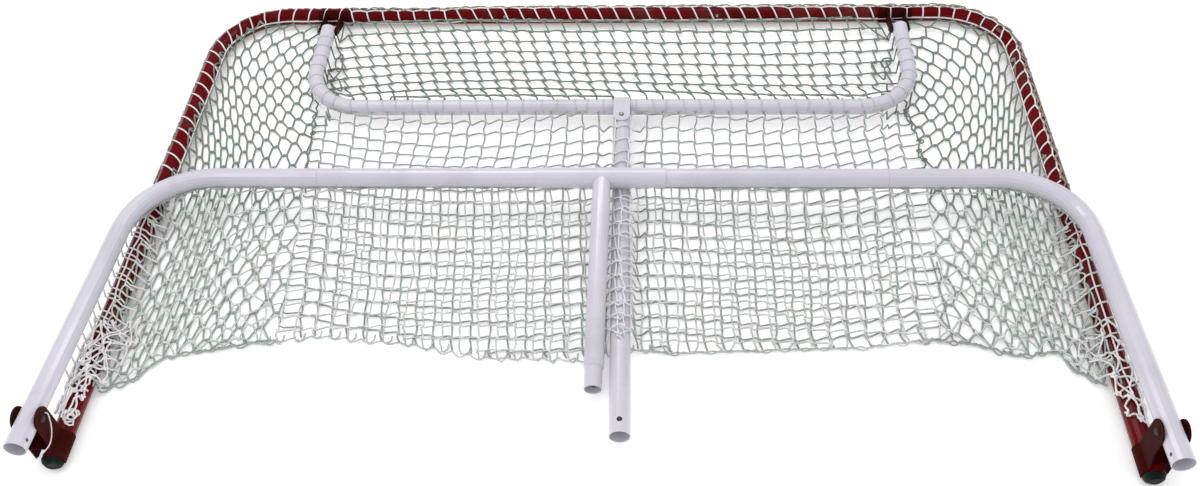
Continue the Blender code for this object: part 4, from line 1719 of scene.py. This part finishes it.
    def slack(self) -> Object:
        """Builds the upper layer, laced under the base rail and lying back to the fold.

        Returns:
            The piece.
        """
        piece = Strands("netting_slack", radius=0.0016)
        net = Weave(slack_height, 37, joint=0.0036, drift=0.0042, jitter=0.0016, pull=0.30, slack=0.0014,
                    spread=0.0024)
        for i in range(-23, 24):
            for j, row in enumerate(self.slack_rows):
                x = 0.0346 * i + 0.004 + 0.003 * math.sin(j * 0.9 + i * 0.3) + 0.0016 * j
                y = row - 0.014 * smooth(abs(x), 0.35, 0.70)
                if y < slack_edge(x) + 0.010 or abs(x) > square_limit(y):
                    continue
                net.put((i, j), x, y, (0.35, -0.94))
        net.settle()
        self.hung = net

        def end(key: tuple, step: tuple, last: bool) -> list | None:
            """Ties a strand under the base rail or loops it round the fold, as Weave.weave asks.

            Args:
                key: the joint's numbers.
                step: the strand's step from joint to joint.
                last: whether the joint is the strand's last one, otherwise its first.

            Returns:
                The points beyond the joint, or None where the strand stops at it.
            """
            x, y = net.places[key]
            if step == ACROSS:
                return None
            if not last:
                return self.base.tie(x - 0.004, BASE_RAIL_Y, 180, -165) if y > -0.03 else None
            low = slack_edge(x)
            if y - low >= 0.06:
                return None
            if x > 0.10:
                lean = 0.010 * math.sin(key[0] * 2.4)
                return [Vector((x + lean, low + 0.003, 0.0065))]
            deep, wide = 0.005 + 0.003 * math.sin(key[0] * 1.7), 0.017 + 0.003 * math.sin(key[0] * 2.9)
            turn = ((x + 0.002, low + 0.006, 0.0060), (x + wide * 0.3, low - deep * 0.6, 0.0045),
                    (x + wide * 0.6, low - deep, 0.0035), (x + wide, low + 0.004, 0.0030),
                    (x + wide * 1.05, low + 0.014, 0.0045))
            return [Vector(place) for place in turn]

        net.weave(piece, ACROSS, (0, 1), end)
        self.edge_line(piece)
        made = piece.make(self.finishes.slack_net)
        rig.replaces(made, "net_slack_left", "net_slack_right")
        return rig.ride(made, "riser")

    def edge_line(self, piece: Strands, reach: float = 0.64) -> None:
        """Adds the strands along the fold: one on the left, and two on the right.

        Args:
            piece: what the strands are added to.
            reach: how far out they go.
        """
        chance = Random(61)
        for points, shift, size in ((LEFT_EDGE, 0.0, 1.2), (RIGHT_EDGE, 0.0, 1.0), (RIGHT_EDGE, 0.017, 0.6)):
            start, stop = max(points[0][0], -reach) + shift, min(points[-1][0], reach)
            wide, deep = (0.034, 0.85, 1.15), (0.0085 * size, 0.5, 1.3)
            piece.add(fold_loops(chance, start, stop, wide, deep, (0.004, 0.003)))

    def side(self, side: Side) -> list[Object]:
        """Builds the netting between one post and the seam, down to the fold.

        Args:
            side: which side.

        Returns:
            The piece's patches.
        """
        sign = side.value
        word = side.name.lower()
        piece = Strands(f"netting_side_{word}", radius=0.0020)
        lie = LEFT_SIDE if sign < 0 else RIGHT_SIDE
        net = Weave(side_height, 51 + sign, drift=0.0020, jitter=0.0010, pull=0.40, slack=0.0008,
                    against=True, spread=0.0013, steep=0.9)

        def spot(m: int, n: int, measured: int = 4) -> Vector:
            """Finds where a joint lies, carried on evenly below the last measured row.

            Args:
                m: the mesh's number across.
                n: its number down.
                measured: the last measured row.

            Returns:
                The place.
            """
            place = lie.spot(m, min(n, measured))
            if n > measured:
                inner = min(max((POST_X - sign * place.x) / 0.30, 0.0), 1.0)
                lean = -0.022 * sign * (1 - math.exp((measured - n) / 3))
                place += Vector((lean, (-0.0290 - 0.0056 * inner) * (n - measured)))
            return lowered(place, side_height)

        def allowed(x: float, y: float) -> bool:
            """Tells whether a joint at x, y belongs to this side.

            Args:
                x: where the joint lies.
                y: where the joint lies.

            Returns:
                Whether it does.
            """
            if frame_gap(x, y) < POST_EDGE or y > CROSSBAR_Y - BAR_EDGE or y < slack_edge(x) + 0.016:
                return False
            if y > SEAM_TOP:
                return not inside_shelf(x, y, -SHELF_EDGE)
            return sign * x > sign * seam(sign, y) + 0.008

        for m in range(-16, 18):
            for n in range(-16, 30):
                if (m + n) % 2 == 0:
                    continue
                x, y = spot(m, n)
                if allowed(x, y) and sign * x >= 0.55:
                    near = 1 - smooth(frame_gap(x, y), 0.03, 0.24)
                    net.put((m, -n), x, y, (-1.0, 0.10 * sign), 0.0050 + 0.0006 * near)
        net.settle()

        def end(key: tuple, step: tuple, last: bool) -> list | None:
            """Ties a strand to the post, the crossbar, the arm, the seam or the fold, as Weave.weave asks.

            Args:
                key: the joint's numbers.
                step: the strand's step from joint to joint.
                last: whether the joint is the strand's last one, otherwise its first.

            Returns:
                The points beyond the joint, or None where the strand stops at it.
            """
            ahead = 1 if last else -1
            x, y = spot(key[0] + step[0] * ahead, -(key[1] + step[1] * ahead))
            if y < slack_edge(x) + 0.02:
                return [Vector((x, slack_edge(x) + 0.004, 0.005))]
            if frame_gap(x, y) < POST_EDGE or y > CROSSBAR_Y - BAR_EDGE:
                return self.at_wrap(x, y, -92 + 10 * smooth(abs(x), 0.78, 0.88))
            if inside_shelf(x, y, -SHELF_EDGE) and y > SEAM_TOP:
                return self.shelf.tie(x, y, -115)
            return self.at_seam(sign, y, net.places[key][0])

        net.weave(piece, *SLANTS, end)
        self.seam_strand(piece, sign)
        self.lower_edge(piece, sign)
        return divide(piece.make(self.finishes.net), side_patches(sign), f"net_side_{word}")

    def seam_strand(self, piece: Strands, sign: int) -> None:
        """Adds the knotted strand that joins the side to the back.

        Args:
            piece: what the strand is added to.
            sign: -1 left, 1 right.
        """
        chance = Random(81 + sign)
        y, found = SEAM_TOP, []
        while y > 0.035:
            x = seam(sign, y) + chance.uniform(-0.006, 0.006) + 0.004 * math.sin(37 * y)
            found.append(Vector((x, y, 0.006 + 0.003 * chance.random())))
            if chance.random() < 0.16:
                for k in range(7):
                    a, knot = math.tau * k / 6 + y * 9, 0.0050
                    found.append(Vector((x + knot * math.cos(a), y + knot * math.sin(a), 0.008 + 0.0004 * k)))
            y -= 0.014
        piece.add(found)

    def lower_edge(self, piece: Strands, sign: int) -> None:
        """Adds the looped strands along the side's part of the fold.

        Args:
            piece: what the strands are added to.
            sign: -1 left, 1 right.
        """
        chance = Random(97 + sign)
        for deep, shift in ((0.011, 0.0), (0.006, 0.011)):
            wide, rise = (0.026, 0.8, 1.2), (0.005, 0.0035)
            piece.add(fold_loops(chance, 0.60 + shift, 0.900, wide, (deep, 0.5, 1.4), rise, sign))

    def skirt(self, side: Side) -> Object:
        """Builds the side's slack, which hangs from the base's corner and lies over the lower layer.

        Args:
            side: which side.

        Returns:
            The piece.
        """
        sign = side.value
        piece = Strands(f"netting_skirt_{side.name.lower()}")

        def height(x: float, y: float) -> float:
            """Height of the slack between the base's side tube and the floor.

            Args:
                x: where the point lies.
                y: where the point lies.

            Returns:
                The height above the floor, in metres.
            """
            low = 0.0062 + 0.0025 * noise.noise(Vector((x * 14, y * 14, 9.4)))
            gap = under_base(x) - y
            rail = (base_height(y) - TUBE_RADIUS - 0.008) * smooth(gap, 0.120, 0.0)
            return max(low + rail * smooth(abs(x), 0.93, 0.86), side_height(x, y) + 0.003)

        net = Weave(height, 91 + sign, joint=0.0048, drift=0.008, jitter=0.003, pull=0.40, slack=0.003,
                    against=sign < 0, spread=0.0014, steep=0.5)
        for i in range(0, 16):
            away = 0.016 + 0.0215 * i
            x = FRAME_MIDDLE + sign * (POST_HALF - away)
            for j in range(-20, 4):
                if (i + j) % 2:
                    continue
                y = 0.030 + 0.0262 * j + 0.10 * away
                if y > under_base(x) - 0.004 or y < slack_edge(x) + 0.012 or abs(x) < square_limit(y) + 0.004:
                    continue
                net.put((i, j), x, y, (-1.0, 0.2))
        net.settle()

        def end(key: tuple, step: tuple, last: bool) -> list | None:
            """Ties a strand to the base, the post, the fold or the square-hung slack, as Weave.weave asks.

            Args:
                key: the joint's numbers.
                step: the strand's step from joint to joint.
                last: whether the joint is the strand's last one, otherwise its first.

            Returns:
                The points beyond the joint, or None where the strand stops at it.
            """
            x, y = net.places[key]
            ahead = 1 if last else -1
            x, y = x - sign * step[0] * ahead * 0.022, y + step[1] * ahead * 0.026
            if y > under_base(x) - 0.006:
                return self.base.tie(x, y, 180, -160)
            if y < slack_edge(x) + 0.012:
                return [Vector((x, slack_edge(x) + 0.003, 0.006))]
            if frame_gap(x, y) < 0.014:
                return self.at_wrap(x, y, -40)
            return self.at_slack(x, y)

        net.weave(piece, *SLANTS, end)
        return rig.ride(piece.make(self.finishes.slack_net), "base")

    def make(self) -> None:
        """Builds and reports every panel."""
        report([self.top(), *self.back(), self.slack()])
        for side in Side:
            report([*self.side(side), self.skirt(side)])


@dataclass
class Lacing:
    """Where the netting wraps round the tubes, and the cord that laces it there.

    Each zone of the front frame, from the left foot, is the x at which it ends, the angles of its inner and
    outer selvedge, and how far the strands lean along the frame there.
    """

    finishes: Finishes
    front: TubeLine
    base: TubeLine
    shelf: TubeLine
    pitch: float = 0.0380
    lift: float = 0.0017
    zones: tuple = ((-0.90, -80, 60, 0.030), (-0.63, -84, 50, 0.012), (-0.36, -104, -18, -0.006),
                    (0.44, -89, 2, -0.016), (0.66, -86, -8, -0.012), (0.915, -84, -14, 0.000),
                    (math.inf, -78, -8, -0.018))

    def angles(self, s: float) -> list[float]:
        """Returns the inner and outer angle and the lean at length s of the front frame."""
        x = self.front.at(s)[0].x
        return next(values for edge, *values in self.zones if x < edge)

    def front_wraps(self) -> Object:
        """Builds the selvedge and the strands over the posts and crossbar.

        Returns:
            The piece.
        """
        piece = Strands("frame_wraps")
        chance = Random(5)
        start, stop = self.front.nearest(-POST_X, 0.04), self.front.nearest(0.94, 0.02)
        inner, outer = [], []
        for k in range(math.ceil(start / self.pitch), math.floor(stop / self.pitch) + 1):
            s = k * self.pitch
            low, high, lean = self.angles(s)
            low += chance.uniform(-4, 4)
            high += chance.uniform(-5, 5)
            over = high - low
            piece.add([self.front.skin(s + lean * m / 7, low + over * m / 7, self.lift) for m in range(8)])
            inner.append((s, low))
            outer.append((s + lean, high))
        for line, sag in ((inner, 0.0), (outer, 9.0)):
            found = []
            for (a, low), (b, high) in zip(line, line[1:]):
                for m in range(5):
                    t = m / 5
                    bend = sag * math.sin(math.pi * t)
                    found.append(self.front.skin(a + (b - a) * t, low + (high - low) * t + bend, self.lift))
            piece.add(found)
        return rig.ride(piece.make(self.finishes.wrap), "front_frame")

    def front_lace(self) -> Object:
        """Builds the brownish cord that zigzags along the outside of the frame.

        Returns:
            The piece.
        """
        piece = Strands("frame_lacing", radius=0.0017)
        chance = Random(9)
        start, stop = self.front.nearest(-POST_X, 0.03), self.front.nearest(0.94, 0.02)
        for swap, reach, step in ((0, 34, 0.0125), (1, 26, 0.0105)):
            s, k, found = start, swap, []
            while s < stop:
                crest = self.angles(s)[1]
                angle = crest + 6 if k % 2 else crest + reach + chance.uniform(-8, 8)
                lift = 0.0021 if k % 2 else 0.0034
                found.append(self.front.skin(s, angle, lift))
                s += step + chance.uniform(-0.002, 0.002)
                found.append(self.front.skin(s, (angle + crest + 20) / 2, lift + 0.0004))
                s += step + chance.uniform(-0.002, 0.002)
                k += 1
            piece.add(found)
        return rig.ride(piece.make(self.finishes.lace), "front_frame")

    def shelf_wraps(self) -> Object:
        """Builds the strands over the shelf rail and its arms, but for where the upright's strap is.

        Returns:
            The piece.
        """
        piece = Strands("shelf_wraps", radius=TWINE_RADIUS * 0.7)
        chance = Random(15)
        s = 0.03
        while s < self.shelf.length - 0.02:
            lean = chance.uniform(-0.004, 0.010)
            if not 0.020 < self.shelf.at(s)[0].x < 0.060:
                piece.add([self.shelf.skin(s + lean * m / 8, 95 - 190 * m / 8, 0.0007) for m in range(9)])
            s += self.pitch * 0.93 + chance.uniform(-0.003, 0.003)
        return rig.ride(piece.make(self.finishes.pale), "shelf")

    def base_lace(self) -> Object:
        """Builds the two lacing cords under the base rail.

        Returns:
            The piece.
        """
        piece = Strands("base_lacing", radius=0.0016)
        chance = Random(19)
        start, stop = (self.base.nearest(x, -0.10) for x in (-POST_X, POST_X))
        for middle, swing, lift, step, change in ((-150, 10, 0.0022, 0.011, 0.003),
                                                  (-160, 22, 0.0045, 0.013, 0.004)):
            s, found = start, []
            while s < stop:
                found.append(self.base.skin(s, middle + chance.uniform(-swing, swing), lift))
                s += step + chance.uniform(-change, change)
            piece.add(found)
        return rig.ride(piece.make(self.finishes.slack_net), "base")

    def post_rungs(self, side: Side) -> Object:
        """Builds the strands that cross a lower post, from the slack to the base's side tube.

        Args:
            side: which side.

        Returns:
            The piece.
        """
        sign = side.value
        piece = Strands(f"post_rungs_{side.name.lower()}")
        chance = Random(33 + sign)
        y, k, ridge = -0.030, 0, []
        while y > -0.475:
            s = self.front.nearest(FRAME_MIDDLE + sign * POST_HALF, y)
            mid = -8 + chance.uniform(-8, 8)
            inner = Vector((FRAME_MIDDLE + sign * (POST_HALF - 0.038 - chance.uniform(0, 0.010)),
                            y - 0.012 + chance.uniform(-0.008, 0.008), 0.010))
            strand = [inner] if inner.y > slack_edge(inner.x) + 0.012 else []
            for angle, along in ((-62, 0.5), (-35, 0.25), (mid, 0.0), (26, -0.3), (52, -0.7)):
                lift = 0.0020 + 0.002 * chance.random()
                strand.append(self.front.skin(s + 0.008 * sign * along * 2, angle, lift))
            tube = self.base.nearest(sign * BASE_HALF, y + 0.012)
            strand += [self.base.skin(tube, 180 + turn * sign, 0.0020) for turn in (-14, 50)]
            piece.add(strand)
            ridge.append(self.front.skin(s, mid, 0.0030))
            if k % 2 and sign < 0:
                steps = (0.0, 0.2, 0.4, 0.6, 0.8, 1.0)
                piece.add([self.front.skin(s + 0.020 * t, -70 + 120 * t, 0.0026) for t in steps])
            y -= (0.027 if sign < 0 else 0.034) + chance.uniform(-0.005, 0.005)
            k += 1
        piece.add(ridge)
        self.foot_bunch(piece, sign)
        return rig.ride(piece.make(self.finishes.wrap), "front_frame")

    def foot_bunch(self, piece: Strands, sign: int) -> None:
        """Adds the netting gathered over the post, which narrows towards the bracket.

        Args:
            piece: what the strands are added to.
            sign: -1 left, 1 right.
        """
        def height(x: float, y: float) -> float:
            """Height of the gathered netting over the post, under the base tube and over the floor.

            Args:
                x: where the point lies.
                y: where the point lies.

            Returns:
                The height above the floor, in metres.
            """
            away = x - FRAME_MIDDLE - sign * POST_HALF
            flank = 0.018
            post = TUBE_RADIUS + math.sqrt(max(TUBE_RADIUS**2 - away**2, 0.0)) if abs(away) < flank else 0.0
            slope = 0.034 * max(0.0, 1 - (abs(away) - flank) / 0.022) if abs(away) >= flank else 0.0
            thick = 0.0045 + 0.0045 * noise.noise(Vector((x * 60, y * 60, 2.2)))
            roof = base_height(y) - math.sqrt(max(TUBE_RADIUS**2 - (abs(x) - BASE_HALF) ** 2, 0.0)) - 0.004
            return min(max(post, slope, 0.003) + thick, roof)

        layers = ((131, 0.0, 10), (151, 0.013, 8)) if sign < 0 else ((131, 0.0, 10),)
        for seed, shift, steps in layers:
            net = Weave(height, seed + sign, joint=0.0040, drift=0.0, jitter=0.0032, pull=0.55, slack=0.005)
            for i in range(6):
                for j in range(steps):
                    if (i + j) % 2:
                        continue
                    t = j / (steps - 1)
                    middle = FRAME_MIDDLE + sign * (POST_HALF - 0.028 + shift + 0.031 * smooth(t, 0.0, 0.75))
                    y = -0.318 - 0.208 * t
                    wide = table([(0.0, 0.0165), (0.45, 0.0140), (0.8, 0.0095), (1.0, 0.0060)], t)
                    x = sign * min(sign * (middle + (i - 2.5) * wide), BASE_HALF + 0.004)
                    net.put((i, j), x, y + 0.012 * math.sin(i * 2.1), (sign * 0.3, -1.0))
            net.settle()
            net.weave(piece, (1, 1), (-1, 1), lambda key, step, last: None)
        x0 = FRAME_MIDDLE + sign * (POST_HALF - 0.013)
        chance = Random(41 + sign)
        for k in range(4 if sign < 0 else 0):
            ring = []
            cx, cy = x0 + chance.uniform(-0.006, 0.006), -0.524 - 0.005 * k
            wide, tall = chance.uniform(0.006, 0.010), chance.uniform(0.006, 0.012)
            for m in range(11):
                a = math.tau * m / 10
                x = cx + wide * math.cos(a)
                ring.append(Vector((x, cy + tall * math.sin(a), height(x, cy) + 0.001 * math.sin(a * 2))))
            piece.add(ring)

    def loose_cord(self) -> Object:
        """Builds the loose white cord that hangs from the left bracket's bolt.

        Returns:
            The piece, declared as a cord.
        """
        traced = ((-0.9195, -0.5700, 0.1090), (-0.9190, -0.5675, 0.1005), (-0.9188, -0.5755, 0.0820),
                  (-0.9190, -0.5870, 0.0680), (-0.9195, -0.6030, 0.0610), (-0.9300, -0.6135, 0.0520),
                  (-0.9410, -0.6140, 0.0400), (-0.9526, -0.6135, 0.0284))
        ends = [Vector(place) for place in traced]
        way = [(b - a) / 2 for a, b in zip([ends[0], *ends], [*ends[1:], ends[-1]])]
        line = [ends[0]]
        for a, b, at_a, at_b in zip(ends, ends[1:], way, way[1:]):
            line += geometry.interpolate_bezier(a, a + at_a / 3, b - at_b / 3, b, 6)[1:]
        piece = Strands("loose_cord", radius=0.0011)
        piece.add(line)
        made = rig.ride(piece.make(self.finishes.wrap), "front_frame")
        length = sum((b - a).length for a, b in zip(line, line[1:]))
        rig.cord(made, exit=line[0], length=length, diameter=0.0022, far_end="bare", stiffness="medium",
                lay="hanging", path=line)
        return made

    def make(self) -> None:
        """Builds and reports every lacing."""
        report([self.front_wraps(), self.front_lace(), self.shelf_wraps(), self.base_lace()])
        report([self.loose_cord(), *(self.post_rungs(side) for side in Side)])


@dataclass
class Steelwork:
    """The tubes, brackets and fasteners from the frame, which get their finishes."""

    finishes: Finishes
    nodes: dict

    def dress(self) -> None:
        """Puts a finish on every solid."""
        f = self.finishes
        plan = {
            f.red: ("crossbar", "post_left", "post_right"),
            f.plastic: ("foot_plug_left", "foot_plug_right"),
            f.bracket: ("base_bracket_left", "base_bracket_right", "shelf_bracket_left",
                        "shelf_bracket_right"),
            f.dark: ("pivot_bolt_left", "pivot_bolt_right", "pivot_nut_left", "pivot_nut_right",
                     "shelf_bolt_left", "shelf_bolt_right", "shelf_nut_left", "shelf_nut_right", "strap_nut"),
            f.zinc: ("snap_spring", "snap_button", "seam_rivet_left", "seam_rivet_right", "strap_bolt"),
            f.white: ("base_rail", "base_tube_left", "base_tube_right", "tee_sleeve", "riser_tube",
                      "shelf_tube", "upright_strap", "upright_tube"),
        }
        for finish, names in plan.items():
            for name in names:
                node = self.nodes[name]
                for slot in node.material_slots:
                    slot.material = finish
                if not node.material_slots:
                    node.data.materials.append(finish)
                log.info("%s: %s", name, finish.name)


@dataclass
class Studio:
    """The floor, the lights and the camera at the photograph's angle."""

    place: tuple = EYE
    focal: float = 33.28
    pitch: float = 48.887
    yaw: float = -4.178
    roll: float = -2.937

    def camera(self) -> None:
        """Places the camera."""
        data = bpy.data.cameras.new("photo_camera")
        data.sensor_fit = "HORIZONTAL"
        data.sensor_width = 36.0
        data.lens = self.focal
        made = placed("photo_camera", data)
        pitch, yaw, roll = (math.radians(v) for v in (self.pitch, self.yaw, self.roll))
        ahead = Vector((math.sin(yaw) * math.cos(pitch), math.cos(yaw) * math.cos(pitch), -math.sin(pitch)))
        right = Vector((math.cos(yaw), -math.sin(yaw), 0.0))
        up = right.cross(ahead)
        rolled = right * math.cos(roll) + up * math.sin(roll)
        above = up * math.cos(roll) - right * math.sin(roll)
        turn = Matrix((rolled, above, -ahead)).transposed().to_4x4()
        made.matrix_world = Matrix.Translation(self.place) @ turn
        bpy.context.scene.camera = made

    def floor(self) -> None:
        """Lays the pale floor."""
        mesh = bpy.data.meshes.new("studio_floor")
        mesh.from_pydata([(-9, -9, 0), (9, -9, 0), (9, 9, 0), (-9, 9, 0)], [], [(0, 1, 2, 3)])
        pale, w, shader = Finish("pale_floor", (0.92, 0.92, 0.92), 0.9).start(
            Specular_IOR_Level=0.1, Emission_Color=(1.0, 1.0, 1.0, 1.0), Emission_Strength=0.22)
        mesh.materials.append(pale)
        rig.stage(placed("studio_floor", mesh))

    def light(self, name: str, place: tuple, aim: tuple, size: tuple, power: float) -> None:
        """Hangs one soft rectangular light.

        Args:
            name: the light's name.
            place: where it hangs.
            aim: the point it faces.
            size: its width and height.
            power: its power in watts.
        """
        data = bpy.data.lights.new(name, "AREA")
        data.shape = "RECTANGLE"
        data.size, data.size_y = size
        data.energy = power
        made = placed(name, data)
        way = Vector(aim) - Vector(place)
        made.matrix_world = Matrix.Translation(place) @ way.to_track_quat("-Z", "Y").to_matrix().to_4x4()

    def lights(self) -> None:
        """Hangs the lights and sets the room's own light."""
        world = bpy.data.worlds.new("studio_room")
        world.use_nodes = True
        bpy.context.scene.world = world
        w = Wiring(world.node_tree)
        back = world.node_tree.nodes["Background"]
        back.inputs["Color"].default_value = (1.0, 1.0, 1.0, 1.0)
        glossy = w.add("ShaderNodeLightPath").outputs["Is Glossy Ray"]
        strength = w.add("ShaderNodeMapRange", {"Value": glossy, "To Min": 1.0, "To Max": 0.14})
        w.tree.links.new(strength.outputs[0], back.inputs["Strength"])
        self.light("overhead_strip", (-0.2, 1.5, 2.4), (0.0, 0.0, 0.0), (2.2, 0.16), 17)
        self.light("front_strip", (-1.9, -0.6, 2.1), (0.0, 0.0, 0.0), (0.16, 1.6), 7)
        bpy.context.scene.view_settings.view_transform = "Standard"

    def make(self) -> None:
        """Sets up the whole studio."""
        self.camera()
        self.floor()
        self.lights()


def main(frame: dict) -> None:
    """Dresses the goal.
    """
    logging.basicConfig(level=logging.INFO, format="%(message)s")
    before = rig.bounds()
    Studio().make()
    finishes = Finishes()
    front, base, shelf = front_line(), base_line(), shelf_line()
    Steelwork(finishes, frame["nodes"]).dress()
    noise.seed_set(DRIFT_SEED)
    Netting(finishes, front, base, shelf).make()
    Lacing(finishes, front, base, shelf).make()
    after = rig.bounds()
    sizes = {"cad": [list(c) for c in before], "visual": [list(c) for c in after]}
    with open("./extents.json", "w", encoding="utf-8") as out:
        json.dump(sizes, out)
    log.info("size %s", sizes)


if __name__ == "__main__":
    main(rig.load())
